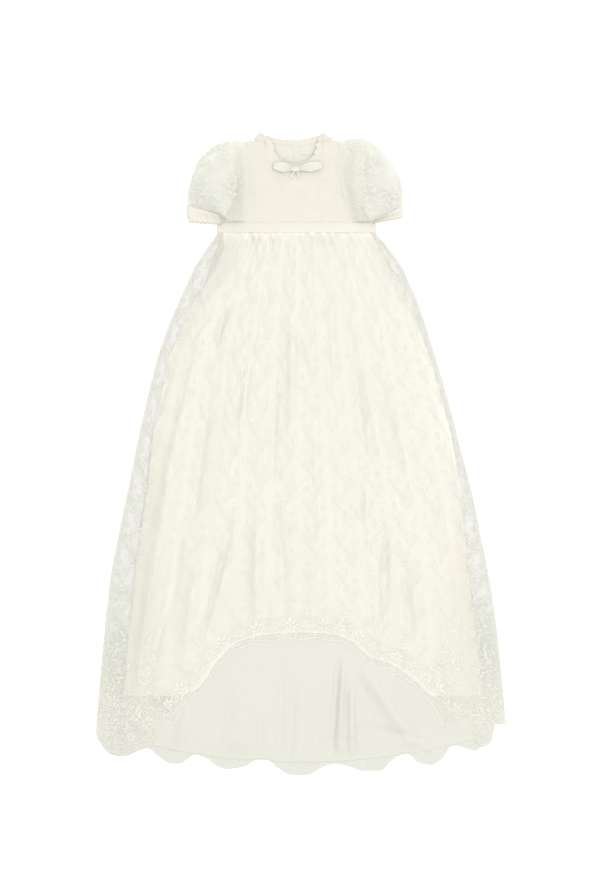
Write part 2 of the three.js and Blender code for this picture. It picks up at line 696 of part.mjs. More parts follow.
// Back bodice halves, flat, meeting at the centre back opening.
const backRows = BACK_FRILL.map((row, i) => ({ place: i / (BACK_FRILL.length - 1), ...row }));
const backSeamX = through(backRows, "place", "seam_x");
const backSeamY = through(backRows, "place", "seam_y");
const BACK_STEPS = 8;
function backHalf(side) {
  const edge = side < 0 ? bodiceLeft : bodiceRight;
  const sideEdge = evenly(BACK_STEPS).map((t) => {
    const y = mix(BODICE_BOTTOM, SHOULDER_OUTER, t);
    return new THREE.Vector2(edge(y), y);
  });
  const neck = evenly(BACK_STEPS).map((t) => {
    const place = side < 0 ? t / 2 : 1 - t / 2;
    return new THREE.Vector2(backSeamX(place), backSeamY(place) - SEAM_GAP);
  });
  const middle = neck[neck.length - 1].x + (side * SEAM_GAP) / 2;
  neck[neck.length - 1].x = middle;
  return [...sideEdge, ...neck, new THREE.Vector2(middle, BODICE_BOTTOM)];
}
addPiece("bodice_back_left", flatCloth(backHalf(-1), CLOTH), LACE_COLOUR, 0.8);
addPiece("bodice_back_right", flatCloth(backHalf(1), CLOTH), LACE_COLOUR, 0.8);

// Neck frill: waves grow from the seam to the free edge.
const STEPS_PER_WAVE = 4;
const FRILL_SEAM_WAVE = 0.25;
const FRILL_ROWS = [0, 0.5, 1];
function frill(rows, waves, base) {
  const placed = rows.map((row, i) => ({ place: i / (rows.length - 1), ...row }));
  const [seamX, seamY, edgeX, edgeY] = ["seam_x", "seam_y", "edge_x", "edge_y"].map((value) =>
    through(placed, "place", value),
  );
  const under = (place, along) => {
    const x = mix(seamX(place), edgeX(place), along);
    const y = mix(seamY(place), edgeY(place), along);
    const wave = 0.5 - 0.5 * Math.cos(2 * Math.PI * waves * place);
    return new THREE.Vector3(x, y, base(place) + FRILL_WAVE_HEIGHT * wave * mix(FRILL_SEAM_WAVE, 1, along));
  };
  return sheetWall(evenly(waves * STEPS_PER_WAVE), FRILL_ROWS, under, CLOTH);
}
const frontFrillBase = (place) => FRONT_FRILL_BASE + FRONT_FRILL_RISE * Math.sin(Math.PI * place);
addPiece("neck_frill_front", frill(FRONT_FRILL, FRONT_FRILL_WAVES, frontFrillBase), LACE_COLOUR, 0.85);
addPiece("neck_frill_back", frill(BACK_FRILL, BACK_FRILL_WAVES, () => 0), LACE_COLOUR, 0.85);

// Sleeves and cuffs: gathered at both ends of the puff, waved along the free edge of the cuff.
function sleeveWave(along, toward) {
  const ends = Math.abs(2 * along - 1) ** 2;
  return SLEEVE_GATHER_HEIGHT * ends * Math.sin(2 * Math.PI * SLEEVE_GATHERS * toward);
}
function cuffWave(along, toward) {
  return CUFF_WAVE_HEIGHT * along * Math.sin(2 * Math.PI * CUFF_WAVES * toward);
}
addPiece("sleeve_left", ringTube(SLEEVE_LEFT, sleeveWave), LACE_COLOUR, 0.85);
addPiece("sleeve_right", ringTube(SLEEVE_RIGHT, sleeveWave), LACE_COLOUR, 0.85);
addPiece("cuff_left", ringTube(CUFF_LEFT, cuffWave), LACE_COLOUR, 0.85);
addPiece("cuff_right", ringTube(CUFF_RIGHT, cuffWave), LACE_COLOUR, 0.85);

// Bow: two loops of ribbon, a knot over their ends and two short tails.
const bow = new THREE.Group();
bow.name = "bow";
bow.position.set(BOW_X, BOW_Y, BOW_Z);
gown.add(bow);

// Side view of a loop: narrow at the knot, full and round at its far end.
const LOOP_START_LOW = 0.3;
const LOOP_START_HIGH = 0.75;
const LOOP_BELLY = 0.4;
const LOOP_BULGE = 0.1;
function loopProfile(length, height) {
  const belly = length * LOOP_BELLY;
  const bulge = height * LOOP_BULGE;
  const shape = new THREE.Shape();
  shape.moveTo(0, height * LOOP_START_LOW);
  shape.bezierCurveTo(belly, 0, length, -bulge, length, height / 2);
  shape.bezierCurveTo(length, height + bulge, belly, height, 0, height * LOOP_START_HIGH);
  shape.closePath();
  return shape;
}
const LOOP_STEPS = 10;
const PINCH = 0.42;
const PINCH_RATE = 1.6;
const LOOP_HOLE_START = 3.4;
const LOOP_HOLE_SHORTER = 5;
const LOOP_WALL = 1.6;
function bowLoop(side) {
  const start = BOW_KNOT / 2 + SEAM_GAP;
  const length = side < 0 ? BOW_LOOP_LEFT : BOW_LOOP_RIGHT;
  const profile = loopProfile(length, BOW_LOOP_HEIGHT);
  const inside = loopProfile(length - LOOP_HOLE_SHORTER, BOW_LOOP_HEIGHT - 2 * LOOP_WALL);
  const corner = new THREE.Vector2(LOOP_HOLE_START, LOOP_WALL);
  const hole = inside.getPoints(LOOP_STEPS).map((point) => point.add(corner));
  profile.holes.push(new THREE.Path(hole));
  const geometry = new THREE.ExtrudeGeometry(profile, {
    depth: BOW_RIBBON,
    bevelEnabled: false,
    curveSegments: LOOP_STEPS,
  });
  geometry.translate(0, 0, -BOW_RIBBON / 2);
  geometry.rotateX(Math.PI / 2);
  const spots = geometry.getAttribute("position");
  for (let i = 0; i < spots.count; i++) {
    const reach = THREE.MathUtils.clamp(spots.getX(i) / length, 0, 1);
    spots.setY(i, spots.getY(i) * mix(PINCH, 1, ease(reach * PINCH_RATE)));
    spots.setX(i, spots.getX(i) + start);
  }
  geometry.rotateZ(side < 0 ? Math.PI - BOW_TILT : BOW_TILT);
  return geometry;
}
addPiece("bow_loop_left", bowLoop(-1), RIBBON_COLOUR, 0.45, bow);
addPiece("bow_loop_right", bowLoop(1), RIBBON_COLOUR, 0.45, bow);

const KNOT_FLATTEN = 0.8;
const knot = new THREE.SphereGeometry(BOW_KNOT / 2, 14, 8);
knot.scale(1, 1, KNOT_FLATTEN);
knot.translate(0, 0, BOW_LOOP_HEIGHT / 2);
addPiece("bow_knot", knot, RIBBON_COLOUR, 0.45, bow);

const TAIL_NARROW = 0.6;
const TAIL_SPREAD = 0.45;
const TAIL_APART = 2.6;
function bowTail(side) {
  const half = BOW_TAIL_WIDTH / 2;
  const outline = [
    new THREE.Vector2(-half * TAIL_NARROW, 0),
    new THREE.Vector2(half * TAIL_NARROW, 0),
    new THREE.Vector2(half, -BOW_TAIL_LENGTH),
    new THREE.Vector2(0, -BOW_TAIL_LENGTH + half),
    new THREE.Vector2(-half, -BOW_TAIL_LENGTH),
  ];
  const geometry = flatCloth(outline, CLOTH);
  geometry.rotateZ(side * TAIL_SPREAD);
  geometry.translate(side * TAIL_APART, -BOW_KNOT / 2 - SEAM_GAP, 0);
  return geometry;
}
addPiece("bow_tail_left", bowTail(-1), RIBBON_COLOUR, 0.45, bow);
addPiece("bow_tail_right", bowTail(1), RIBBON_COLOUR, 0.45, bow);

export default gown;
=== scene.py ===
# %% [markdown]
# # A christening gown laid flat
# The gown is ivory lace over a plain lining, spread on its back and seen from straight above.
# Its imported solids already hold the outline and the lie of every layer. So this lesson first
# learns to read them, and then dresses each layer as thin cloth, with net, embroidery, ribbon
# and seams. The frame is loaded first, because every piece is placed by it.

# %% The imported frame
import math
from types import SimpleNamespace

import bmesh
import bpy
import numpy as np
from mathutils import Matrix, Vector
from mathutils.bvhtree import BVHTree


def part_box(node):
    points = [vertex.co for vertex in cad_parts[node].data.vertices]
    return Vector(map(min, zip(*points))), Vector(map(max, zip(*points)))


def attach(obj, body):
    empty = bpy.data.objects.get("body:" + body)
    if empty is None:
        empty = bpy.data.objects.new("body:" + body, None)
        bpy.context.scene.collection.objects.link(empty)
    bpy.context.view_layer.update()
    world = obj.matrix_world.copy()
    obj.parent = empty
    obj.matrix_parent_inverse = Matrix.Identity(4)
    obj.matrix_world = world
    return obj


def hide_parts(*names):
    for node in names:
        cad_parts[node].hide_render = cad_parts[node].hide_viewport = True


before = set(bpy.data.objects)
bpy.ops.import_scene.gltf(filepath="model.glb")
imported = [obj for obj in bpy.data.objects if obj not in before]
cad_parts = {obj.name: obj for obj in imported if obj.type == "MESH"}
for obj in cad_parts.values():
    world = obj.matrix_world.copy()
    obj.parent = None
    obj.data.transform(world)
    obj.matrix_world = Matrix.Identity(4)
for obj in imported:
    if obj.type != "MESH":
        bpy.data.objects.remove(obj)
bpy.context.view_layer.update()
MM = 0.001

# %% [markdown]
# ## Reading outlines from the solids
# A sewn panel is known by its edges: two sides, a lower edge and an upper edge. They could be
# typed in again, but then a changed solid would no longer match its cloth. Here each solid is
# cut across at many levels, and the ends of every cut are kept as smooth lists.

# %% Cutting a solid across
HAIR = 0.2 * MM


def edge_ends(node):
    """Both ends of every edge of a solid."""
    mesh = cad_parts[node].data
    points = np.empty(3 * len(mesh.vertices))
    mesh.vertices.foreach_get("co", points)
    ends = np.empty(2 * len(mesh.edges), int)
    mesh.edges.foreach_get("vertices", ends)
    pairs = points.reshape(-1, 3)[ends.reshape(-1, 2)]
    return pairs[:, 0], pairs[:, 1]


def reach_at(node, axis, levels):
    """Lowest and highest place of a solid along the other axis, at each level of this axis."""
    start, end = edge_ends(node)
    other = 1 - axis
    reach = []
    for level in levels:
        cut = (start[:, axis] <= level) != (end[:, axis] <= level)
        share = (level - start[cut, axis]) / (end[cut, axis] - start[cut, axis])
        place = start[cut, other] + share * (end[cut, other] - start[cut, other])
        reach.append((place.min(), place.max()))
    return np.array(reach)


def panel(node, sides_from, sides_to, level_top=None):
    """The four edges of a panel: left and right by height, lower and upper by place across."""
    low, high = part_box(node)
    heights = np.linspace(sides_from, sides_to, 320)
    sides = reach_at(node, 1, heights)
    across = np.linspace(low.x + HAIR, high.x - HAIR, 1400)
    ends = reach_at(node, 0, across)
    top = ends[:, 1] if level_top is None else np.full(len(across), level_top)
    return SimpleNamespace(
        left=lambda y: np.interp(y, heights, sides[:, 0]),
        right=lambda y: np.interp(y, heights, sides[:, 1]),
        lower=lambda x: np.interp(x, across, ends[:, 0]),
        upper=lambda x: np.interp(x, across, top),
    )


def lay_out(edges, u, v, tuck=0.0):
    """Plan of a panel: u runs from its left side to its right, v from its lower edge up. The
    lower edge can be tucked in further, as a seam allowance is."""
    def across(y):
        return edges.left(y) + (edges.right(y) - edges.left(y)) * u

    def meet(edge):
        y = np.zeros_like(u)
        for _ in range(20):
            y = 0.3 * y + 0.7 * edge(across(y))
        return y

    low, high = meet(edges.lower) - tuck, meet(edges.upper)
    y = low + (high - low) * v
    return across(y), y


waist_ends = reach_at("waistband_front", 1, [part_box("waistband_front")[0].y + HAIR])[0]
print("waist from and to in mm:", np.round(waist_ends / MM))

# %% [markdown]
# ## Heights of the layers
# Cloth lies on what is under it. A ray dropped from above tells how high a solid stands at a
# place, and a few rounds of averaging take the facets of the solid out of the cloth.

# %% Dropping rays and softening
DROP_FROM = 0.2
NEAR = 10 * MM


def surface_of(mesh):
    """A mesh in a form that rays can meet."""
    corners = [corner.co.copy() for corner in mesh.vertices]
    return BVHTree.FromPolygons(corners, [tuple(face.vertices) for face in mesh.polygons])


def drop(tree, x, y, missed=None):
    """Height where a ray from above meets a surface at each place in plan. Beside the surface it
    is the height of the nearest point, or a value for the places that were missed."""
    heights = np.empty(x.size)
    for i, (a, b) in enumerate(zip(x.ravel(), y.ravel())):
        met = tree.ray_cast(Vector((a, b, DROP_FROM)), Vector((0, 0, -1)))[0]
        if met is None and missed is None:
            met = tree.find_nearest(Vector((a, b, NEAR)))[0]
        heights[i] = missed if met is None else met.z
    return heights.reshape(x.shape)


def rest_on(node, x, y):
    """Height of a solid's upper side at places in plan."""
    return drop(surface_of(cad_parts[node].data), x, y)


def soften(z, times):
    """Average of each place with its neighbours along and across the cloth."""
    for _ in range(times):
        z = np.pad(z, ((1, 1), (0, 0)), mode="edge")
        z = (z[:-2] + 2 * z[1:-1] + z[2:]) / 4
        z = np.pad(z, ((0, 0), (1, 1)), mode="edge")
        z = (z[:, :-2] + 2 * z[:, 1:-1] + z[:, 2:]) / 4
    return z


def ease(t):
    """Smooth step from 0 to 1."""
    t = np.clip(t, 0, 1)
    return t * t * (3 - 2 * t)


chest_height = rest_on("bodice_front", np.array([0.0]), np.array([400 * MM]))
print("height of the bodice in mm:", np.round(chest_height / MM, 1))

# %% [markdown]
# ## Thread, weave and net as shared effects
# Three cloths make the gown: a plain woven lining, a fine hexagonal net, and satin ribbon.
# Weave and net are needed by several finishes, so each is a node group with its own scale.
# The net could be modelled thread by thread, but at two millimetres a cell that is millions of
# faces. Three crossing waves draw the same honeycomb, and the holes become see-through.

# %% Helpers for shader nodes
def add_node(tree, kind, inputs=None, **settings):
    """A new shader node, with each input set to a value or joined to a socket."""
    made = tree.nodes.new(kind)
    for key, value in settings.items():
        setattr(made, key, value)
    for key, value in (inputs or {}).items():
        if isinstance(value, bpy.types.NodeSocket):
            tree.links.new(value, made.inputs[key])
        else:
            made.inputs[key].default_value = value
    return made


def sum_of(tree, operation, *values):
    """Result of one sum on values or sockets."""
    return add_node(tree, "ShaderNodeMath", dict(enumerate(values)), operation=operation).outputs[0]


def start_group(name, inputs, outputs):
    """An empty node group with its inputs and outputs."""
    group = bpy.data.node_groups.new(name, "ShaderNodeTree")
    for label, kind, value in inputs:
        socket = group.interface.new_socket(name=label, in_out="INPUT", socket_type=kind)
        if value is not None:
            socket.default_value = value
    for label in outputs:
        group.interface.new_socket(name=label, in_out="OUTPUT", socket_type="NodeSocketFloat")
    return group, group.nodes.new("NodeGroupInput"), group.nodes.new("NodeGroupOutput")


# %% Honeycomb net
NET_WAVES = [(1, 0, 0), (0.5, 0.866, 0), (0.5, -0.866, 0)]
net, given, out = start_group(
    "honeycomb_net",
    [("Place", "NodeSocketVector", None), ("Cell", "NodeSocketFloat", 2 * MM)],
    ["Thread"],
)
rate = sum_of(net, "DIVIDE", 4 * math.pi / math.sqrt(3), given.outputs["Cell"])
waves = []
for direction in NET_WAVES:
    along = add_node(
        net, "ShaderNodeVectorMath", {0: given.outputs["Place"], 1: direction}, operation="DOT_PRODUCT"
    ).outputs["Value"]
    waves.append(sum_of(net, "COSINE", sum_of(net, "MULTIPLY", along, rate)))
mesh_wave = sum_of(net, "ADD", sum_of(net, "ADD", waves[0], waves[1]), waves[2])
thread = add_node(
    net,
    "ShaderNodeMapRange",
    {"Value": mesh_wave, "From Min": -0.72, "From Max": -1.12, "To Min": 0.0, "To Max": 1.0},
    interpolation_type="SMOOTHSTEP",
)
net.links.new(thread.outputs["Result"], out.inputs["Thread"])
print("net group:", len(net.nodes), "nodes")

# %% Plain weave
weave, given, out = start_group(
    "plain_weave",
    [("Place", "NodeSocketVector", None), ("Yarn", "NodeSocketFloat", 0.5 * MM)],
    ["Height", "Slub"],
)
split = add_node(weave, "ShaderNodeSeparateXYZ", {0: given.outputs["Place"]})
rate = sum_of(weave, "DIVIDE", 2 * math.pi, given.outputs["Yarn"])
warp = sum_of(weave, "SINE", sum_of(weave, "MULTIPLY", split.outputs["X"], rate))
weft = sum_of(weave, "SINE", sum_of(weave, "MULTIPLY", split.outputs["Y"], rate))
weave.links.new(sum_of(weave, "MULTIPLY", warp, weft), out.inputs["Height"])
stretched = add_node(
    weave, "ShaderNodeMapping", {"Vector": given.outputs["Place"], "Scale": (260, 40, 60)}
)
slub = add_node(
    weave, "ShaderNodeTexNoise", {"Vector": stretched.outputs[0], "Scale": 1.0, "Detail": 3.0}
)
weave.links.new(slub.outputs["Fac"], out.inputs["Slub"])
print("weave group:", len(weave.nodes), "nodes")

# %% [markdown]
# ## The finishes
# All the cloth is nearly one ivory, so the finishes differ in how they take the light: the
# lining is matt, the net is open, the embroidery thread has a little gloss and the ribbon more.
# Painted pictures could serve too, but drawn effects stay sharp at any distance.

# %% Colour and relief of a finish
def start_finish(name, roughness, sheen):
    """A new finish with its shader, and the place of each point in the flat cut."""
    finish = bpy.data.materials.new(name)
    finish.use_nodes = True
    tree = finish.node_tree
    shader = tree.nodes["Principled BSDF"]
    shader.inputs["Roughness"].default_value = roughness
    shader.inputs["Sheen Weight"].default_value = sheen
    shader.inputs["Sheen Roughness"].default_value = 0.5
    shader.inputs["Specular IOR Level"].default_value = 0.25
    place = add_node(tree, "ShaderNodeUVMap", uv_map="cut").outputs["UV"]
    return finish, tree, shader, place


def tint(tree, shader, value, dark, light):
    """Base colour between two ivories."""
    mixed = add_node(tree, "ShaderNodeMix", {0: value, 6: (*dark, 1), 7: (*light, 1)}, data_type="RGBA")
    tree.links.new(mixed.outputs[2], shader.inputs["Base Color"])


def raise_by(tree, shader, height, distance, strength):
    """Fine relief from a height that varies over the cloth."""
    bump = add_node(tree, "ShaderNodeBump", {"Strength": strength, "Distance": distance, "Height": height})
    tree.links.new(bump.outputs["Normal"], shader.inputs["Normal"])


# %% Woven cloth, net and satin stitch
NET_CELL = 2 * MM
STITCH = 0.5 * MM


def woven_finish(name, roughness, sheen, yarn, dark, light, strength):
    """Plain weave, with slubs that are lighter or darker."""
    finish, tree, shader, place = start_finish(name, roughness, sheen)
    cloth_weave = add_node(tree, "ShaderNodeGroup", node_tree=weave)
    cloth_weave.inputs["Yarn"].default_value = yarn
    tree.links.new(place, cloth_weave.inputs["Place"])
    tint(tree, shader, cloth_weave.outputs["Slub"], dark, light)
    raise_by(tree, shader, cloth_weave.outputs["Height"], 0.12 * MM, strength)
    return finish


def net_finish(name, dark, light, filled):
    """Open net, or net lying on cloth where it is filled. Net shades the cloth under it, most
    where it is half open, so its thread is lighter there and the whole stays even."""
    finish, tree, shader, place = start_finish(name, 0.7, 0.2)
    honeycomb = add_node(tree, "ShaderNodeGroup", node_tree=net)
    honeycomb.inputs["Cell"].default_value = NET_CELL
    tree.links.new(place, honeycomb.inputs["Place"])
    threads = honeycomb.outputs["Thread"]
    if filled:
        tint(tree, shader, threads, dark, light)
        raise_by(tree, shader, threads, 0.25 * MM, 0.6)
    else:
        cloud = add_node(tree, "ShaderNodeTexNoise", {"Vector": place, "Scale": 30.0, "Detail": 2.0})
        close = add_node(tree, "ShaderNodeAttribute", attribute_name="close_worked").outputs["Fac"]
        faint = sum_of(tree, "MULTIPLY_ADD", cloud.outputs["Fac"], 0.16, 0.65)
        lit = sum_of(tree, "MULTIPLY_ADD", close, 1.8, faint)
        shared = sum_of(tree, "MULTIPLY", lit, sum_of(tree, "SUBTRACT", 1.0, close))
        tint(tree, shader, shared, dark, light)
        tree.links.new(sum_of(tree, "MAXIMUM", threads, close), shader.inputs["Alpha"])
    return finish


def stitched_finish(name, dark, light):
    """Satin stitch: fine threads lying side by side across each run."""
    finish, tree, shader, place = start_finish(name, 0.45, 0.3)
    split = add_node(tree, "ShaderNodeSeparateXYZ", {0: place})
    lines = sum_of(tree, "SINE", sum_of(tree, "MULTIPLY", split.outputs["X"], 2 * math.pi / STITCH))
    cloud = add_node(tree, "ShaderNodeTexNoise", {"Vector": place, "Scale": 400.0, "Detail": 2.0})
    tint(tree, shader, cloud.outputs["Fac"], dark, light)
    raise_by(tree, shader, lines, 0.15 * MM, 0.3)
    return finish


# %% The finishes of this gown
lining_cloth = woven_finish(
    "lining_cloth", 0.75, 0.3, 0.5 * MM, (0.63, 0.61, 0.552), (0.68, 0.66, 0.602), 0.35
)
# Lining of the skirt back: the same cloth as the front lining, painted darker as the shade it lies in under
# the front.
inside_cloth_painted_shade = woven_finish(
    "inside_cloth_painted_shade", 0.8, 0.2, 0.5 * MM, (0.505, 0.497, 0.44), (0.54, 0.532, 0.475), 0.35
)
# Inside of the bodice back and its label: lining cloth painted darker as the shade inside the neck.
back_cloth_painted_shade = woven_finish(
    "back_cloth_painted_shade", 0.8, 0.2, 0.5 * MM, (0.535, 0.529, 0.463), (0.57, 0.563, 0.498), 0.35
)
satin_ribbon = woven_finish(
    "satin_ribbon", 0.42, 0.2, 0.4 * MM, (0.53, 0.512, 0.45), (0.555, 0.535, 0.472), 0.15
)
# Satin of the bow: the waistband's ribbon in a tone of its own, painted for the light and shade on its
# loops.
bow_satin_painted_shading = woven_finish(
    "bow_satin_painted_shading", 0.42, 0.2, 0.4 * MM, (0.51, 0.50, 0.432), (0.535, 0.523, 0.455), 0.15
)
open_net = net_finish("open_net", (0.575, 0.56, 0.502), (0.72, 0.705, 0.635), False)
shaded_net = net_finish("shaded_net", (0.505, 0.508, 0.457), (0.645, 0.655, 0.59), False)
# Net of the sleeves: the same net painted lighter, against the shade inside the flattened tube.
sleeve_net_painted_light = net_finish("sleeve_net_painted_light", (0.645, 0.637, 0.563), (0.755, 0.752, 0.665), False)
neck_net = net_finish("neck_net", (0.555, 0.54, 0.472), (0.592, 0.574, 0.502), True)
frill_net = net_finish("frill_net", (0.58, 0.565, 0.49), (0.62, 0.60, 0.525), True)
lined_net = net_finish("lined_net", (0.543, 0.528, 0.462), (0.583, 0.563, 0.497), True)
lace_thread = stitched_finish("lace_thread", (0.577, 0.562, 0.504), (0.617, 0.602, 0.542))
bodice_thread = stitched_finish("bodice_thread", (0.515, 0.50, 0.44), (0.56, 0.545, 0.48))
# Thread over the sheer sides: the same thread painted greyer, as the shade it shows there.
sheer_thread_painted_shade = stitched_finish("sheer_thread_painted_shade", (0.515, 0.526, 0.457), (0.56, 0.57, 0.50))
shaded_thread = stitched_finish("shaded_thread", (0.51, 0.515, 0.455), (0.56, 0.565, 0.50))

# %% [markdown]
# ## A sheet of cloth
# Every panel starts as a flat grid, like cloth on the cutting table. Each point of the grid is
# moved to its place, the plan of the cut is kept as a UV map for the weave, and the sheet gets
# the thickness of cloth at the end. A panel could be sculpted, but a grid keeps its rows even.

# %% Making a sheet
def grid_points(mesh, columns, rows):
    """A grid's points in order, from the first row to the last, with their places from 0 to 1."""
    spots = np.empty(3 * len(mesh.vertices))
    mesh.vertices.foreach_get("co", spots)
    spots = spots.reshape(-1, 3) + 0.5
    order = np.lexsort((np.round(spots[:, 0] * columns), np.round(spots[:, 1] * rows)))
    shape = (rows + 1, columns + 1)
    return order, spots[order, 0].reshape(shape), spots[order, 1].reshape(shape)


def write_cut(mesh, cut):
    """Keeps the place of each point in the flat cut, in metres, as the UV map of the cloth."""
    corner = np.empty(len(mesh.loops), int)
    mesh.loops.foreach_get("vertex_index", corner)
    mesh.uv_layers.new(name="cut").data.foreach_set("uv", cut[corner].ravel())


def show(mesh, finish, thickness=0.0):
    """Puts a mesh in the scene with its finish, as cloth of a thickness or as it is."""
    mesh.polygons.foreach_set("use_smooth", [True] * len(mesh.polygons))
    mesh.materials.append(finish)
    mesh.update()
    piece = bpy.data.objects.new(mesh.name, mesh)
    bpy.context.scene.collection.objects.link(piece)
    if thickness:
        wall = piece.modifiers.new("thickness", "SOLIDIFY")
        wall.thickness = thickness
        wall.offset = 0
        piece.modifiers.new("even_light", "WEIGHTED_NORMAL").weight = 80
    return piece


def sew_on(piece, slot, *nodes):
    """Lets a piece move with the gown, and take the place of its solids."""
    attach(piece, "root")
    if nodes:
        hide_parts(*nodes)
    return piece


def cloth(name, columns, rows, place, finish, thickness, cut=None, closed=False, close=None):
    """Sheet of cloth: place(u, v) gives x, y and z for places across and up the sheet. In net,
    close(x, y) tells how closely the ground is worked, from open mesh at 0 to solid at 1."""
    table = bmesh.new()
    bmesh.ops.create_grid(table, x_segments=columns, y_segments=rows, size=0.5)
    mesh = bpy.data.meshes.new(name)
    table.to_mesh(mesh)
    table.free()
    order, u, v = grid_points(mesh, columns, rows)
    points = np.stack(place(u, v), -1).reshape(-1, 3)
    flat = points[:, :2] if cut is None else np.stack(cut(u, v), -1).reshape(-1, 2)
    spots, flats = np.empty_like(points), np.empty_like(flat)
    spots[order], flats[order] = points, flat
    mesh.vertices.foreach_set("co", spots.ravel())
    write_cut(mesh, flats)
    if close:
        worked = mesh.attributes.new("close_worked", "FLOAT", "POINT")
        worked.data.foreach_set("value", close(spots[:, 0], spots[:, 1]))
    if closed:
        tube = bmesh.new()
        tube.from_mesh(mesh)
        bmesh.ops.remove_doubles(tube, verts=tube.verts, dist=HAIR / 10)
        bmesh.ops.recalc_face_normals(tube, faces=tube.faces)
        tube.to_mesh(mesh)
        tube.free()
    piece = show(mesh, finish, thickness)
    print(name, len(mesh.polygons), "faces")
    return piece


def flat_cut(width, length):
    """Plan of a strip as it was cut, before it is gathered or folded."""
    return lambda u, v: (width * u, length * v)


# %% [markdown]
# ## Folds of the skirt
# The skirt front hangs from gathers, and lies in long soft folds. The big ones are in the
# solids. A simulation could find finer ones, but not where they are seen, so these are listed one
# by one, each from one point to another, as a ridge or as a trough. Short tucks stand under the
# waistband where the gathers are sewn in.

# %% Folds and tucks in millimetres
# From and to in plan, half width, height: a trough has a negative height.
SKIRT_FOLDS = [
    (-115, 231, -132, 165, 4, -2.2),
    (-9, 192, 16, 122, 3.5, -1.2),
    (-175, 95, -240, -200, 13, 2.2),
    (-226, -140, -257, -384, 8, 3.2),
    (-186, -120, -206, -256, 6, -2.4),
    (-204, -216, -226, -300, 5, -1.6),
    (-222, -285, -245, -420, 3.2, -3.8),
    (-160, -150, -182, -330, 9, 2.0),
    (-112, -120, -144, -256, 4.5, -2.6),
    (-140, -236, -160, -302, 4, -2.2),
    (-68, -90, -68, -284, 8, 2.4),
    (-28, -150, -28, -262, 5, -2.0),
    (-40, -60, -30, -170, 5, -1.6),
    (51, -60, 52, -292, 30, 2.0),
    (132, -110, 128, -288, 5, -3.0),
    (200, -100, 207, -330, 32, 2.4),
    (214, -330, 236, -398, 2.2, -2.4),
    (250, -190, 268, -400, 9, 1.8),
    (69, -79, 108, -123, 4, -0.9),
    (-13, 226, -14, 17, 6, 1.8),
    (-84, 140, -90, 40, 7, 1.8),
    (103, -40, 103, -112, 6, 1.8),
    (144, 100, 173, -45, 18, 2.2),
    (-150, 205, -213, -50, 5, 1.4),
    (-62, 255, -104, -40, 4.5, 1.3),
    (42, 262, 60, 25, 4.5, 1.3),
    (76, 236, 133, -40, 5, 1.4),
    (108, 222, 196, -150, 6, 1.3),
    (20, 66, 32, -150, 6, 1.5),
    (-99, -60, -104, -150, 6, 1.4),
    (-36, 120, -48, -60, 4, -1.5),
    (88, 120, 100, 0, 4, -1.6),
    (-140, 90, -168, -110, 4.5, -1.7),
    (203, 0, 232, -190, 6, -1.6),
    (160, -160, 172, -300, 6, -1.8),
]
# Place across at the waist, length, half width and height.
WAIST_TUCKS = [
    (-112, 36, 2.4, -1.5), (-104, 60, 2.6, 1.1), (-98, 26, 2.2, -1.4), (-92, 48, 2.4, -1.5),
    (-82, 34, 2.2, -1.5), (-74, 56, 2.6, -1.7), (-60, 44, 3.0, 1.2), (-43, 64, 2.6, -1.7),
    (-28, 40, 3.0, 1.1), (-8, 30, 2.4, -1.0), (11, 30, 2.2, -1.4), (20, 52, 2.8, 1.2),
    (30, 44, 2.2, -1.5), (41, 38, 2.2, -1.4), (50, 60, 2.8, 1.1), (61, 28, 2.2, -1.5),
    (67, 42, 2.4, -1.5), (80, 56, 2.8, 1.2), (90, 36, 2.4, -1.4), (102, 48, 2.4, -1.3),
]
TUCK_LEAN = 1.18
FOLD_DEPTH = 2.5


def fold_height(x, y, from_x, from_y, to_x, to_y, half_width):
    """Share of a fold's height at places in plan, and how far along the fold they lie."""
    run_x, run_y = to_x - from_x, to_y - from_y
    length = math.hypot(run_x, run_y)
    along = ((x - from_x) * run_x + (y - from_y) * run_y) / length**2
    aside = ((x - from_x) * run_y - (y - from_y) * run_x) / length
    return np.exp(-((aside / half_width) ** 2)), np.clip(along, 0, 1)


def fold_sum(x, y, folds, shape):
    """Height that a table of folds adds to the cloth, each shaped along its length."""
    height = np.zeros_like(x)
    for *path, half_width, tall in folds:
        share, along = fold_height(x / MM, y / MM, *path, half_width)
        height += tall * MM * share * shape(along)
    return height


def rising_and_sinking(along):
    """A fold that begins and ends flat."""
    return np.sin(np.pi * along) ** 0.7


def fading_from_seam(along):
    """A tuck that is deepest just below its seam."""
    return (1 - along) ** 1.5 * ease(10 * along)


def skirt_folds(x, y):
    """Height that the folds and tucks add to the skirt front."""
    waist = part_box("skirt_front_lace")[1].y / MM
    tucks = [
        (across, waist, across * TUCK_LEAN, waist - length, half_width, tall)
        for across, length, half_width, tall in WAIST_TUCKS
    ]
    folds = fold_sum(x, y, SKIRT_FOLDS, rising_and_sinking)
    return FOLD_DEPTH * (folds + fold_sum(x, y, tucks, fading_from_seam))


print("folds:", len(SKIRT_FOLDS), "tucks:", len(WAIST_TUCKS))

# %% [markdown]
# ## Hems
# The lace is worked more closely towards its hem, and its border follows the hem. Both need to
# know how far a place lies from that edge, so the edge is taken as a line with even steps.

# %% The hem as a line
SIDES_FROM = 200 * MM
SIDES_OVER = 45 * MM
SHEER_FADE = 200 * MM
RIM = 14 * MM


def length_along(x, y):
    """Length of a line up to each of its points."""
    return np.concatenate([[0], np.cumsum(np.hypot(np.diff(x), np.diff(y)))])


def even_line(x, y, step):
    """The same line with its points set evenly along it."""
    length = length_along(x, y)
    even = np.linspace(0, length[-1], int(length[-1] / step) + 1)
    return np.interp(even, length, x), np.interp(even, length, y), even


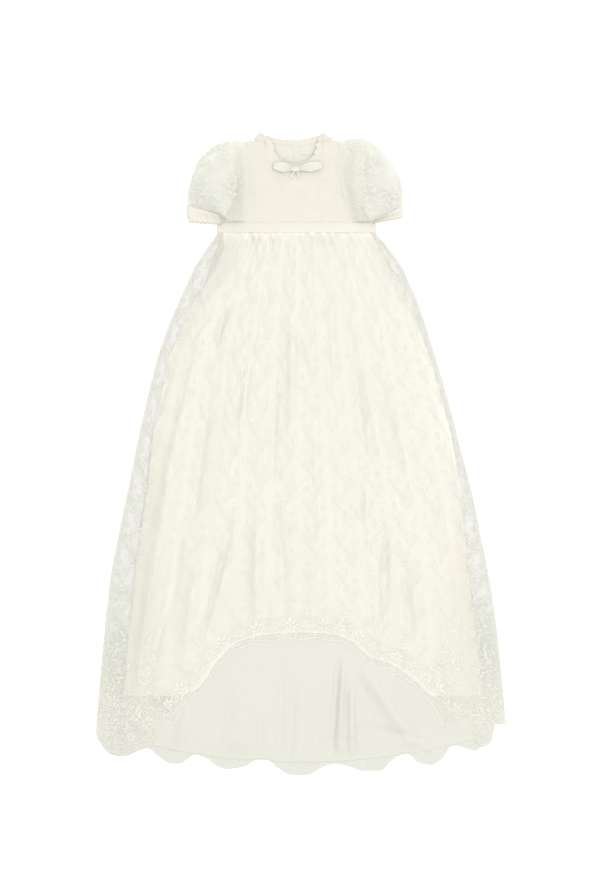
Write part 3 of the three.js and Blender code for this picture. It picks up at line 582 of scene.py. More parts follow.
def hem_line(edges, smooth):
    """The lower edge of a panel from left to right, evened out for a border to follow."""
    u = np.linspace(0.001, 0.999, 4000)
    x, y, _ = even_line(*lay_out(edges, u, np.zeros_like(u)), 2 * MM)
    if smooth:
        weights = np.hanning(2 * smooth + 3)[1:-1]
        weights /= weights.sum()
        x = np.convolve(np.pad(x, smooth, mode="edge"), weights, mode="valid")
        y = np.convolve(np.pad(y, smooth, mode="edge"), weights, mode="valid")
    return x, y


def gap_to(line_x, line_y, x, y):
    """Distance from places to the nearest point of a line, in parts that fit in memory."""
    line = np.stack([line_x, line_y], -1)
    gaps = []
    for part in np.array_split(np.stack([x.ravel(), y.ravel()], -1), 40):
        apart = part[:, None] - line[None]
        gaps.append(np.hypot(apart[..., 0], apart[..., 1]).min(axis=1))
    return np.concatenate(gaps).reshape(x.shape)


def close_hem(edges, most, full, fade, sides, rim):
    """Closeness of the ground: most at the hem, then fading to open mesh. Towards the sides of the
    skirt, where no lining lies under the net, there is less of it and it fades more slowly. A
    narrow rim runs up both sides."""
    line = hem_line(edges, 0)

    def close(x, y):
        gap = gap_to(*line, x, y)
        aside = ease((np.abs(x) - SIDES_FROM) / SIDES_OVER)
        lined = most * (1 - ease((gap - full) / fade))
        sheer = sides * (1 - ease(gap / SHEER_FADE)) * aside
        from_side = np.minimum(x - edges.left(y), edges.right(y) - x)
        return np.maximum(lined * (1 - aside) + sheer, rim * (1 - ease(from_side / RIM)))

    return close


# %% [markdown]
# ## The four layers of the skirt
# From the table up, a skirt like this is back lace, back lining, front lining and front lace.
# Each lies on the height of its own solid, so no layer can sink into the next. The linings are
# opaque and stop short of the sides, and the lace runs past them as a sheer strip.

# %% Skirt back: lace
CLOTH = 0.4 * MM
NET = 0.25 * MM
HALF_WALL = 0.6 * MM
SIDES_DOWN_TO = -418 * MM
SKIRT_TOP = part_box("skirt_back_lace")[1].y
back_edges = panel("skirt_back_lace", SIDES_DOWN_TO, SKIRT_TOP - HAIR, SKIRT_TOP)


def flat_on_table(edges):
    """A panel that lies flat underneath the others."""
    def place(u, v):
        x, y = lay_out(edges, u, v)
        return x, y, np.full_like(x, HALF_WALL)

    return place


back_lace = cloth(
    "skirt_back_net",
    260,
    90,
    flat_on_table(back_edges),
    shaded_net,
    NET,
    close=close_hem(back_edges, 0.85, 0, 70 * MM, 0.8, 0.2),
)
sew_on(back_lace, "lace", "skirt_back_lace")

# %% Skirt back: lining, with a turned hem and the creases that show under the arch
HEM_TURN = 9 * MM
HEM_THICK = 0.15 * MM
HEM_FLAT = 30 * MM
LINING_LOW = 0.98 * MM
SHOWN_BELOW = -290 * MM
SHOWN_OVER = 40 * MM
CREASE_DEPTH = 2.2
INSIDE_CREASES = [
    (-84, -330, -100, -480, 22, 1.8),
    (-3, -320, -10, -490, 2.6, 0.9),
    (-32, -318, -33, -490, 6, -1.2),
    (60, -296, 45, -486, 4, -2.6),
    (68, -300, 57, -490, 4, 1.8),
    (72.5, -340, 72.5, -490, 1.8, -1.1),
    (80, -330, 82, -490, 5, 1.6),
    (86, -316, 168, -436, 12, 3.2),
    (140, -330, 200, -440, 9, -2.2),
    (78, -426, 142, -434, 8, -1.8),
    (-170, -372, -196, -480, 10, 2.0),
    (-60, -380, -64, -490, 7, 1.6),
    (22, -400, 26, -490, 9, -1.6),
]
inside_edges = panel("skirt_back_lining", -440 * MM, SKIRT_TOP - HAIR, SKIRT_TOP)


def lay_back_lining(u, v):
    """Back lining with its creases. Its rows are closer together low down, where it shows."""
    x, y = lay_out(inside_edges, u, v**1.5)
    z = soften(rest_on("skirt_back_lining", x, y), 3) - HALF_WALL
    creases = CREASE_DEPTH * fold_sum(x, y, INSIDE_CREASES, lambda along: ease(3 * along))
    shown = ease((SHOWN_BELOW - y) / SHOWN_OVER)
    above_hem = y - inside_edges.lower(x)
    turned = HEM_THICK * (1 - ease((above_hem - HEM_TURN) / MM))
    settled = LINING_LOW + (z + creases * shown - LINING_LOW) * ease(above_hem / HEM_FLAT)
    return x, y, np.maximum(settled, LINING_LOW) + turned


back_lining = cloth("skirt_back_lining_cloth", 300, 132, lay_back_lining, inside_cloth_painted_shade, CLOTH)
sew_on(back_lining, "lining", "skirt_back_lining")

# %% Edges of the skirt front, with the scallops of its lace
WAIST_TUCK = 4 * MM
SCALLOP = 4 * MM
SCALLOP_REPEAT = 44 * MM
lining_edges = panel("skirt_front_lining", -374 * MM, SKIRT_TOP - HAIR, SKIRT_TOP + WAIST_TUCK)
front_edges = panel("skirt_front_lace", SIDES_DOWN_TO, SKIRT_TOP - HAIR, SKIRT_TOP + WAIST_TUCK)


def scallop(edges):
    """Cuts small scallops into the lower edge of a panel, where it runs across the cloth."""
    plain = edges.lower
    x = np.linspace(edges.left(SIDES_DOWN_TO), edges.right(SIDES_DOWN_TO), 3000)
    x, y, along = even_line(x, plain(x), MM)
    level = np.abs(np.gradient(x, along)) ** 2
    bite = SCALLOP * level * (1 - np.abs(np.sin(np.pi * along / SCALLOP_REPEAT)))
    edges.lower = lambda place: plain(place) + np.interp(place, x, bite)


scallop(front_edges)
arch_line = hem_line(front_edges, 0)
print("front hem in mm:", round(length_along(*arch_line)[-1] / MM))

# %% Skirt front: lining and lace
HEM_SETTLE = 60 * MM
SIDE_SETTLE = 85 * MM
EDGE_SETTLE = 42 * MM
EDGE_FREE = 0.06
EDGE_CLEAR = 0.45 * MM
TUCK_DOWN = 2.6 * MM
back_surface = surface_of(back_lace.data)
inside_surface = surface_of(back_lining.data)


def lay_front(node, edges, below_top, least, u, v):
    """Front layer on its solid, with its folds, sinking to the back along its hem and sides, and
    tucked in under the waistband at the top."""
    x, y = lay_out(edges, u, v)
    z = soften(rest_on(node, x, y), 6) - below_top + skirt_folds(x, y)
    inward = ease(gap_to(*arch_line, x, y) / HEM_SETTLE)
    for sides, settle in ((front_edges, SIDE_SETTLE), (edges, EDGE_SETTLE)):
        from_side = np.minimum(x - sides.left(y), sides.right(y) - x)
        inward = np.minimum(inward, ease(from_side / settle))
    back = np.maximum(drop(back_surface, x, y), drop(inside_surface, x, y, missed=0.0))
    under = back + EDGE_CLEAR + (least - EDGE_CLEAR) * ease(4 * inward)
    free = EDGE_FREE + (1 - EDGE_FREE) * inward
    laid = np.maximum(under + (z - under) * free, under)
    tucked = soften(laid, 2) - TUCK_DOWN * ease((y - SKIRT_TOP) / WAIST_TUCK)
    return x, y, np.maximum(tucked, least + HALF_WALL)


front_lining = cloth(
    "skirt_front_lining_cloth",
    220,
    180,
    lambda u, v: lay_front("skirt_front_lining", lining_edges, 0.25 * MM, 0.7 * MM, u, v),
    lining_cloth,
    CLOTH,
)
sew_on(front_lining, "lining", "skirt_front_lining")
front_lace = cloth(
    "skirt_front_net",
    240,
    195,
    lambda u, v: lay_front("skirt_front_lace", front_edges, 1.05 * MM, 1.4 * MM, u, v),
    open_net,
    NET,
    close=close_hem(front_edges, 0.3, 11 * MM, 30 * MM, 0.34, 0.06),
)
sew_on(front_lace, "lace", "skirt_front_lace")

# %% [markdown]
# ## Embroidery as runs of satin stitch
# The flowers, leaves and scrolls of the lace are all sewn the same way, as runs of thread laid
# side by side. So one shape makes them all: a narrow strip along a line, crowned in the middle,
# as wide at each place as the leaf or petal is. A motif is a few such runs, and copies of it are
# joined in one mesh and dropped on the cloth. The design is a common one of small sprigs.

# %% One run of stitches
CROWN = 0.32 * MM


def run_grid(steps):
    """Places along and across a strip, and its faces."""
    strip = bmesh.new()
    bmesh.ops.create_grid(strip, x_segments=steps, y_segments=2, size=1)
    strip.verts.index_update()
    spots = np.array([corner.co[:2] for corner in strip.verts])
    faces = np.array([[corner.index for corner in face.verts] for face in strip.faces])
    strip.free()
    return (spots[:, 0] + 1) / 2, spots[:, 1], faces


def run(line, width, steps):
    """Run of stitches along line(t), in millimetres, width(t) wide, for t from 0 to 1."""
    t, across, faces = run_grid(steps)
    step = 0.01
    here = np.stack(line(t), -1)
    ahead = np.stack(line(t + step), -1) - np.stack(line(t - step), -1)
    ahead /= np.linalg.norm(ahead, axis=1)[:, None]
    aside = np.stack([-ahead[:, 1], ahead[:, 0]], -1)
    half = width(t) / 2
    flat = here + aside * (across * half)[:, None]
    length = np.hypot(*np.diff(np.stack(line(np.linspace(0, 1, 20))), axis=1)).sum()
    cut = np.stack([t * length, across * half], -1)
    crown = 1 - 0.8 * np.abs(across)
    return SimpleNamespace(flat=flat * MM, crown=crown * CROWN, cut=cut * MM, faces=faces)


# %% Leaves, stems and scrolls
def leaf(x, y, turn, length, width, steps=3, blunt=1.0):
    """Leaf or petal from its root at x, y, pointing where turn says, in degrees."""
    way, bend = math.radians(turn), 0.12 * length

    def line(t):
        reach, off = t * length, bend * np.sin(np.pi * np.clip(t, 0, 1))
        return (
            x + reach * math.cos(way) - off * math.sin(way),
            y + reach * math.sin(way) + off * math.cos(way),
        )

    return run(line, lambda t: width * np.sin(np.pi * (0.06 + 0.88 * t**blunt)), steps)


def stem(points, width, steps):
    """Thin line of stitches through a few points."""
    points = np.array(points, float)
    places = np.linspace(0, 1, len(points))
    dense = np.linspace(-0.1, 1.1, 49)
    fit = np.polyfit(places, points, min(3, len(points) - 1))
    path = np.stack([np.polyval(fit[:, 0], dense), np.polyval(fit[:, 1], dense)])
    return run(
        lambda t: (np.interp(t, dense, path[0]), np.interp(t, dense, path[1])),
        lambda t: width * (1 - 0.4 * t),
        steps,
    )


def scroll(x, y, radius, start, turns, width, steps=10):
    """Spiral that rolls in from its outer end, by a share of a full turn."""
    def line(t):
        angle = math.radians(start) + 2 * math.pi * turns * t
        size = radius * (1 - 0.72 * t)
        return x + size * np.cos(angle), y + size * np.sin(angle)

    return run(line, lambda t: width * (1 - 0.45 * t), steps)


# %% Dots and flowers
def dot(x, y, size):
    """Round spot, sewn as a leaf that is as wide as it is long."""
    return leaf(x - size / 2, y, 0, size, size, steps=2)


def flower(x, y, size, petals, turn=90):
    """Ring of petals with a dot in the middle."""
    inner = 0.22 * size
    runs = [dot(x, y, 0.42 * size)]
    for k in range(petals):
        angle = turn + 360 * k / petals
        root_x = x + inner * math.cos(math.radians(angle))
        root_y = y + inner * math.sin(math.radians(angle))
        runs.append(leaf(root_x, root_y, angle, 0.8 * size, 0.62 * size, steps=3, blunt=1.35))
    return runs


# %% Vine, sprig and spot, in millimetres
VINE_REPEAT = 58
VINE_SWING = 7


def vine_line(t):
    """The winding stem of the vine."""
    return VINE_SWING * np.sin(2 * np.pi * t), VINE_REPEAT * t


vine = [
    run(vine_line, lambda t: 1.2 + 0 * t, 12),
    stem([(6, 9), (10, 13), (13, 19)], 0.9, 3),
    stem([(-6, 38), (-10, 42), (-13, 48)], 0.9, 3),
    *flower(14, 24, 6, 5),
    *flower(-14, 53, 6, 5),
    leaf(4, 5, 15, 9, 3.4),
    leaf(7, 13, 125, 9, 3.4),
    leaf(6, 20, 160, 8, 3.0),
    leaf(1, 28, 40, 8, 3.0),
    leaf(-4, 34, 165, 9, 3.4),
    leaf(-7, 42, 55, 9, 3.4),
    leaf(-6, 49, 20, 8, 3.0),
    leaf(-1, 57, 140, 8, 3.0),
    scroll(-12, 14, 5, 300, -1.1, 1.2, 7),
    scroll(12, 43, 5, 240, 1.1, 1.2, 7),
    dot(-16, 26, 2.2),
    dot(16, 55, 2.2),
]
sprig = [
    stem([(-2, -23), (4, -12), (-3, 0), (1, 10)], 1.4, 6),
    leaf(1, -18, 35, 11, 4.4),
    leaf(2, -13, 150, 11, 4.4),
    leaf(1, -6, 40, 12, 4.8),
    leaf(-1, -1, 140, 12, 4.8),
    stem([(-1, 0), (-8, 5), (-13, 11)], 1.0, 3),
    stem([(0, 2), (8, 4), (14, 9)], 1.0, 3),
    leaf(-12, 9, 125, 7, 4.0, 2),
    leaf(-13, 10, 170, 6, 3.4, 2),
    leaf(13, 8, 60, 7, 4.0, 2),
    leaf(14, 8, 15, 6, 3.4, 2),
    *flower(1, 15, 8.5, 5),
]
spot = [dot(0, 0, 2.2)]
print("vine:", len(vine), "runs, sprig:", len(sprig), "runs")

# %% Border and corner scrolls, in millimetres
# The border repeats along the hem: x along the edge, y in from it.
BORDER_REPEAT = 48
cord = [stem([(-4.2, 1.2), (4.2, 1.2)], 1.8, 3)]
border = [
    *[dot(x, 5.2, 2.2) for x in np.arange(-21.6, 24, 4.8)],
    stem([(-24, 9), (-12, 7), (0, 9)], 1.2, 5),
    stem([(0, 9), (12, 7), (24, 9)], 1.2, 5),
    scroll(-11, 17, 9, 250, -1.35, 2.0, 12),
    scroll(11, 17, 9, 290, 1.35, 2.0, 12),
    *flower(0, 24, 7.5, 6),
    *flower(24, 17, 6, 5),
    leaf(24, 25, 90, 11, 4.6),
    leaf(22.5, 23, 130, 9, 4),
    leaf(25.5, 23, 50, 9, 4),
    scroll(-7, 34, 6, 270, -1.2, 1.6, 9),
    scroll(7, 34, 6, 270, 1.2, 1.6, 9),
    stem([(0, 32), (1.5, 40), (-1, 48), (0, 56)], 1.2, 5),
    leaf(0, 37, 45, 9, 4),
    leaf(0, 37, 135, 9, 4),
    leaf(1, 44, 40, 9, 3.8),
    leaf(0, 44, 140, 9, 3.8),
    *flower(0, 59, 5.5, 5),
    stem([(24, 37), (22.5, 43), (25, 50)], 1.0, 3),
    leaf(24, 41, 40, 7, 3.2),
    leaf(24, 43, 140, 7, 3.2),
    dot(24, 52, 3.2),
    *[dot(x, y, 1.8) for x, y in ((-16, 27), (16, 27), (-14, 45), (14, 45), (-17, 35), (17, 35))],
]
corner = [
    scroll(-8, -6, 7.5, 250, -1.3, 1.8, 9),
    scroll(9, -4, 7.5, 290, 1.3, 1.8, 9),
    scroll(0, 10, 6.5, 270, 1.2, 1.6, 9),
    leaf(-9, 7, 120, 9, 4),
    leaf(9, 8, 60, 9, 4),
    leaf(-3, -9, 260, 8, 3.6),
    *flower(0, -1, 5, 5),
    dot(-15, 4, 2.6),
    dot(16, 5, 2.6),
    dot(8, -14, 2.6),
]
for name, motif in (("border", border), ("corner", corner)):
    print(name, len(motif), "runs", sum(len(stitches.faces) for stitches in motif), "faces")

# %% [markdown]
# ## Laying the motifs on the cloth
# A motif is copied by moving the points of all its runs at once. A run that would cross the edge
# of its panel is left out, as a maker leaves it out, and the others are dropped on the cloth.

# %% Copies at places, along an edge and in columns
def copies(motif, places):
    """Runs of a motif at places in millimetres, each with a turn in degrees and a size."""
    x, y, turn, size = np.array(places, float).T[:, :, None]
    cos, sin = np.cos(np.radians(turn)), np.sin(np.radians(turn))
    made = []
    for stitches in motif:
        flat_x, flat_y = stitches.flat[None, :, 0] * size, stitches.flat[None, :, 1] * size
        plan_x = x * MM + flat_x * cos - flat_y * sin
        plan_y = y * MM + flat_x * sin + flat_y * cos
        made.append((np.stack([plan_x, plan_y], -1), stitches))
    return made


def along_edge(motif, line_x, line_y, repeat, start=0.0, mitre=2.5 * MM):
    """Runs of a border repeated along a line. A run that is nearer to another part of the line
    than to its own is left out, so that the border turns sharp corners cleanly."""
    length = length_along(line_x, line_y)
    middle = start + repeat * (np.arange(int((length[-1] - start) / repeat)) + 0.5)
    slope_x, slope_y = np.gradient(line_x, length), np.gradient(line_y, length)
    made = []
    for stitches in motif:
        at = middle[:, None] + stitches.flat[None, :, 0]
        way_x, way_y = np.interp(at, length, slope_x), np.interp(at, length, slope_y)
        size = np.hypot(way_x, way_y)
        inward = stitches.flat[None, :, 1]
        plan_x = np.interp(at, length, line_x) - way_y / size * inward
        plan_y = np.interp(at, length, line_y) + way_x / size * inward
        own = (gap_to(line_x, line_y, plan_x, plan_y) > inward - mitre).all(axis=1)
        made.append((np.stack([plan_x, plan_y], -1)[own], stitches))
    return made


def along_columns(motif, edges, columns, rows_from, rows_to, repeat, full_width, shift):
    """Runs of a vine in columns that narrow towards the waist with the cloth."""
    made = []
    shares = (np.arange(columns) + 0.5) / columns
    for stitches in motif:
        plans = []
        for share, late in zip(shares, shift):
            base = np.arange(rows_from + late * repeat, rows_to, repeat)
            y = base[:, None] + stitches.flat[None, :, 1]
            left, right = edges.left(y), edges.right(y)
            narrow = np.clip((right - left) / columns / full_width, 0.5, 1)
            x = left + (right - left) * share + stitches.flat[None, :, 0] * narrow
            plans.append(np.stack([x, y], -1))
        made.append((np.concatenate(plans), stitches))
    return made


# %% Choosing runs and sewing them down
def clear_of(made, line_x, line_y, margin):
    """Only the runs that keep a distance from a line."""
    kept = []
    for plan, stitches in made:
        free = (gap_to(line_x, line_y, plan[..., 0], plan[..., 1]) > margin).all(axis=1)
        kept.append((plan[free], stitches))
    return kept


def embroider(name, made, within, tree, finish, clear):
    """Joins the runs that lie within a panel, drops them on its cloth and shows them."""
    points, cuts, faces, count = [], [], [], 0
    for plan, stitches in made:
        plan = plan[within(plan[..., 0], plan[..., 1]).all(axis=1)]
        if not len(plan):
            continue
        lift = clear + stitches.crown[None, :]
        z = drop(tree, plan[..., 0], plan[..., 1]) + lift
        points.append(np.concatenate([plan, z[..., None]], -1).reshape(-1, 3))
        cuts.append(np.tile(stitches.cut, (len(plan), 1)))
        shift = count + len(stitches.flat) * np.arange(len(plan))
        faces.append((stitches.faces[None] + shift[:, None, None]).reshape(-1, 4))
        count += len(plan) * len(stitches.flat)
    mesh = bpy.data.meshes.new(name)
    mesh.from_pydata(np.concatenate(points).tolist(), [], np.concatenate(faces).tolist())
    write_cut(mesh, np.concatenate(cuts))
    print(name, len(mesh.polygons), "faces")
    return show(mesh, finish)


def within_panel(edges, side, low, high):
    """Test for places that lie inside a panel by these margins."""
    def test(x, y):
        beside = (x > edges.left(y) + side) & (x < edges.right(y) - side)
        return beside & (y > edges.lower(x) + low) & (y < edges.upper(x) - high)

    return test


# %% [markdown]
# ## Lace of the skirt
# Vines climb the whole skirt in columns that narrow towards the waist, with spots between them,
# and a border of scrolls and flowers follows the hem. Where no lining lies under the lace its
# thread is painted greyer, for the shade it shows there, so those runs are a piece of their own.
# Each column of vines starts at a height drawn by lot from a fixed seed, so the rows don't line up.

# %% Vines, spots and border of one panel
CLEAR = 0.15 * MM
VINE_COLUMNS = 12
VINE_FULL = 46 * MM
SPOT_REPEAT = 19 * MM
SPOT_FULL = 15 * MM
BORDER_TALL = 50 * MM
BORDER_EVEN = 14
chance = np.random.default_rng(11)


def skirt_lace(edges, rows_from, shift, start):
    """The runs of one skirt panel: vines, spots between them, and border with edge cord."""
    edge = hem_line(edges, 0)
    rows = (rows_from * MM, SKIRT_TOP)
    vines = along_columns(vine, edges, VINE_COLUMNS, *rows, VINE_REPEAT * MM, VINE_FULL, shift)
    spots = along_columns(
        spot, edges, 3 * VINE_COLUMNS, *rows, SPOT_REPEAT, SPOT_FULL, np.tile(shift, 3)
    )
    inner = [clear_of(runs, *edge, BORDER_TALL) for runs in (vines, spots)]
    outer = along_edge(border, *hem_line(edges, BORDER_EVEN), BORDER_REPEAT * MM, start)
    return *inner, outer + along_edge(cord, *edge, 8 * MM)


# %% Lace of the skirt front, on the lining and on the sheer sides
# Place in millimetres, turn in degrees and size of the scrolls that fill the lower corners and
# climb from there up the sheer sides.
CORNER_SCROLLS = [
    (-298, -392, 10, 1), (-303, -422, -20, 1), (-274, -388, 40, 1), (-304, -448, 15, 1),
    (-279, -416, -35, 1), (-295, -363, -15, 0.9), (-288, -337, 30, 0.8), (-295, -310, -30, 0.9),
    (-285, -286, 15, 0.7), (-291, -258, -10, 0.8), (-284, -218, 35, 0.7),
    (288, -388, -10, 1), (306, -402, 25, 1), (300, -374, 60, 1), (291, -350, 20, 0.8),
    (293, -322, -25, 0.9), (286, -296, 10, 0.7), (287, -266, -35, 0.8), (280, -232, 15, 0.7),
]
ARCH_HALF = 215 * MM


def on_lining(x, y):
    """Places where the lining lies under the lace, or the back under the arch of the hem."""
    beside = (x > lining_edges.left(y)) & (x < lining_edges.right(y))
    return beside & ((y > lining_edges.lower(x)) | (np.abs(x) < ARCH_HALF))


def part_by(made, test):
    """The runs that lie wholly where the test is true, and the others."""
    inner, outer = [], []
    for plan, stitches in made:
        true = test(plan[..., 0], plan[..., 1]).all(axis=1)
        inner.append((plan[true], stitches))
        outer.append((plan[~true], stitches))
    return inner, outer


front_shift = chance.uniform(0, 1, VINE_COLUMNS)
front_vines, front_spots, front_border = skirt_lace(front_edges, -420, front_shift, 0)
lined_runs, sheer_runs = part_by(front_vines + front_border, on_lining)
lined_runs += part_by(front_spots, on_lining)[0]
sheer_runs += copies(corner, CORNER_SCROLLS)
front_surface = surface_of(front_lace.data)
in_front = within_panel(front_edges, 2 * MM, 0.2 * MM, 3 * MM + WAIST_TUCK)
front_embroidery = embroider(
    "skirt_front_embroidery", lined_runs, in_front, front_surface, lace_thread, CLEAR
)
sew_on(front_embroidery, "lace")
side_embroidery = embroider(
    "skirt_side_embroidery", sheer_runs, in_front, front_surface, sheer_thread_painted_shade, CLEAR
)
sew_on(side_embroidery, "lace")

# %% The same lace on the back
back_shift = chance.uniform(0, 1, VINE_COLUMNS)
back_vines, back_spots, back_border = skirt_lace(back_edges, -480, back_shift, 8 * MM)
back_embroidery = embroider(
    "skirt_back_embroidery",
    part_by(back_vines + back_spots, on_lining)[0] + back_border,
    within_panel(back_edges, 2 * MM, 0.2 * MM, 3 * MM),
    surface_of(back_lace.data),
    shaded_thread,
    -0.05 * MM,
)
sew_on(back_embroidery, "lace")

# %% [markdown]
# ## Bodice
# The front is lace mounted on the lining as one cloth. The back is two halves that meet at the
# centre, and their inside shows through the neck, with a small bare label. Each could be cut from
# the mesh of its solid, but a grid between its edges keeps even rows that the lace can follow.

# %% Bodice front
SHOULDER = 486.5 * MM
SHOULDER_FALL = 14 * MM
SHOULDER_SEAM = 1.2 * MM
NECK_MIDDLE = -10.5 * MM
NECK_HALF = 43 * MM
SEAM_TUCK = 4 * MM
SEAM_FALL = 1.2 * MM
bodice_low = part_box("bodice_front")[0]
bodice_edges = panel("bodice_front", bodice_low.y + HAIR, SHOULDER)
BODICE_CREASES = [
    (-84, 470, -78, 380, 3, -0.8),
    (-70, 430, -66, 366, 5, 0.9),
    (-30, 425, -34, 368, 5, 0.7),
    (12, 425, 16, 366, 5, 0.8),
    (52, 460, 60, 375, 5, 0.9),
    (66, 440, 82, 372, 4, -0.9),
]


def steep_columns(edges, u):
    """Columns drawn together where the upper edge of a panel is steep, as at the neck."""
    fine = np.linspace(0, 1, 3000)
    x, y = lay_out(edges, fine, np.ones_like(fine))
    length = length_along(x, y)
    return np.interp(u, length / length[-1], fine)


def lay_bodice(u, v):
    """Bodice on its solid, tucked under the waistband and sinking to the shoulder seams."""
    x, y = lay_out(bodice_edges, steep_columns(bodice_edges, u), v, SEAM_TUCK)
    z = soften(rest_on("bodice_front", x, y), 4) - HALF_WALL
    z -= SEAM_FALL * ease((bodice_low.y + SEAM_TUCK - y) / (2 * SEAM_TUCK))
    shoulder = ease((y - SHOULDER + SHOULDER_FALL) / SHOULDER_FALL)
    beside_neck = np.abs(x - NECK_MIDDLE) > NECK_HALF
    z += (SHOULDER_SEAM - z) * shoulder * beside_neck
    return x, y, z + fold_sum(x, y, BODICE_CREASES, rising_and_sinking)


bodice = cloth("bodice_front_lace", 160, 80, lay_bodice, lined_net, CLOTH)
sew_on(bodice, "lace", "bodice_front")

# %% Bodice back halves
for half in ("left", "right"):
    node = f"bodice_back_{half}"
    half_edges = panel(node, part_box(node)[0].y + HAIR, SHOULDER - 8 * MM)
    piece = cloth(f"{node}_cloth", 60, 40, flat_on_table(half_edges), back_cloth_painted_shade, CLOTH)
    sew_on(piece, "lace", node)

# %% Bare label inside the back neck
LABEL_LOW = Vector((-3 * MM, 466 * MM, 1.2 * MM))
LABEL_HIGH = Vector((19 * MM, 476 * MM, 1.5 * MM))
LABEL_BOW = 1.2 * MM


def lay_label(u, v):
    """Label sewn down along its upper edge, bowed and a little open below."""
    x = LABEL_LOW.x + (LABEL_HIGH.x - LABEL_LOW.x) * u
    y = LABEL_LOW.y + (LABEL_HIGH.y - LABEL_LOW.y) * v + LABEL_BOW * (2 * u - 1) ** 2
    return x, y, LABEL_LOW.z + (LABEL_HIGH.z - LABEL_LOW.z) * (1 - v) * np.sin(np.pi * u)


label = cloth("neck_label", 16, 8, lay_label, back_cloth_painted_shade, CLOTH)
sew_on(label, "ribbon")

# %% [markdown]
# ## Sprigs on the bodice
# On bodice and sleeves the lace shows as single sprigs with spots between them. The sprigs could
# be scattered by chance, but few are seen, so each is given a place and a turn of its own.

# %% Embroidery of the bodice
def strew(sprigs, size, across, step_x, step_y, spot_size):
    """Sprigs at listed places, and small spots in staggered rows."""
    spots = []
    for row, y in enumerate(np.arange(366, 488, step_y)):
        stagger = step_x / 2 * (row % 2)
        spots += [(x + stagger, y, 0, spot_size) for x in np.arange(*across, step_x)]
    return copies(sprig, [(*place, size) for place in sprigs]) + copies(spot, spots)


BODICE_SPRIGS = [
    (-62, 400, 6), (-62, 452, -4), (-30, 418, 3), (-34, 378, -8), (-2, 396, 4),
    (26, 420, -4), (30, 378, 6), (56, 448, 5), (54, 398, -6), (78, 378, -14), (-92, 378, 14),
]
bodice_embroidery = embroider(
    "bodice_embroidery",
    strew(BODICE_SPRIGS, 0.8, (-110, 110), 13, 12, 0.85),
    within_panel(bodice_edges, 2 * MM, 2 * MM, 3 * MM),
    surface_of(bodice.data),
    bodice_thread,
    CLEAR,
)
sew_on(bodice_embroidery, "lace")

# %% [markdown]
# ## Waistband
# A plain satin ribbon covers the seam between bodice and skirt. It could copy the height of its
# solid, but a ribbon sewn over a seam rests on what is under it, so it is laid after both of them.

# %% Ribbon over the waist seam
BAND_CLEAR = 0.5 * MM
BAND_CROWN = 0.3 * MM
BAND_WAVE = 0.1 * MM
band_low, band_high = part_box("waistband_front")
band_edges = panel("waistband_front", band_low.y + HAIR, band_high.y - HAIR)


def lay_band(u, v):
    """Ribbon laid from the skirt's top edge to the bodice's lower edge, slightly crowned."""
    y = band_low.y + (band_high.y - band_low.y) * v
    x = band_edges.left(y) + (band_edges.right(y) - band_edges.left(y)) * u
    skirt_side = drop(surface_of(front_lace.data), x[:1], y[:1])
    bodice_side = drop(surface_of(bodice.data), x[-1:], y[-1:])
    skirt_side, bodice_side = soften(skirt_side, 10), soften(bodice_side, 10)
    settled = skirt_side + (bodice_side - skirt_side) * v + BAND_CLEAR
    crowned = settled + BAND_CROWN * np.sin(np.pi * v)
    return x, y, crowned + BAND_WAVE * np.sin(40 * u + 3 * v)


waistband = cloth("waistband_ribbon", 120, 12, lay_band, satin_ribbon, CLOTH)
sew_on(waistband, "ribbon", "waistband_front")

# %% Ribbon round the back
back_band_low, back_band_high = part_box("waistband_back")


def lay_back_band(u, v):
    """Ribbon flat on the table, under the back."""
    x = back_band_low.x + (back_band_high.x - back_band_low.x) * u
    y = back_band_low.y + (back_band_high.y - back_band_low.y) * v
    return x, y, np.full_like(x, HALF_WALL)


back_band = cloth("waistband_back_ribbon", 60, 6, lay_back_band, satin_ribbon, CLOTH)
sew_on(back_band, "ribbon", "waistband_back")

# %% [markdown]
# ## Puff sleeves and cuffs
# Each sleeve is an unlined tube of lace, gathered into the armhole and into the cuff. A sleeve
# could be inflated by simulation, but here its shape is known from end to end, so the tube is
# laid through sections: the outer end follows the puff and the inner end the underarm.

# %% Sections of the sleeves in millimetres
# Outer end, inner end, height, and how far the underarm lies on the bodice.
SLEEVES = {
    "left": [
        (-83.5, 486, -84.5, 363, 12, 8.5),
        (-105.5, 489, -95, 362.5, 23, 8.5),
        (-124, 484, -100, 362, 30, 8.5),
        (-143, 473, -105.5, 362, 34, 8.5),
        (-158.5, 456.5, -111, 362, 34, 8.5),
        (-168.5, 433, -115.5, 363, 31, 6),
        (-174.5, 408, -119, 366, 24, 3),
        (-176, 388, -121.5, 370, 15, 0),
    ],
    "right": [
        (60, 486.5, 80.5, 362, 12, 8.5),
        (86, 491, 91, 361.5, 23, 8.5),
        (105, 488, 95.5, 361.5, 30, 8.5),
        (123, 475, 100, 361.5, 34, 8.5),
        (139, 458, 104, 361.6, 34, 8.5),
        (153.5, 434, 107.5, 361.6, 31, 6),
        (159, 410, 110.5, 361.4, 24, 3),
        (158.5, 387, 111.2, 361.2, 15, 0),
    ],
}
CUFFS = {
    "left": [
        (-176.2, 387, -121.7, 370, 14, 0),
        (-178, 375.5, -122.5, 366, 12, 0),
        (-172.5, 359, -124, 356.5, 15, 0),
    ],
    "right": [
        (158.6, 386.2, 111.2, 361.2, 14, 0),
        (159, 377.5, 111.4, 360.3, 12, 0),
        (158, 366.5, 114, 359, 15, 0),
    ],
}
print("sections:", {side: len(SLEEVES[side]) + len(CUFFS[side]) for side in SLEEVES})

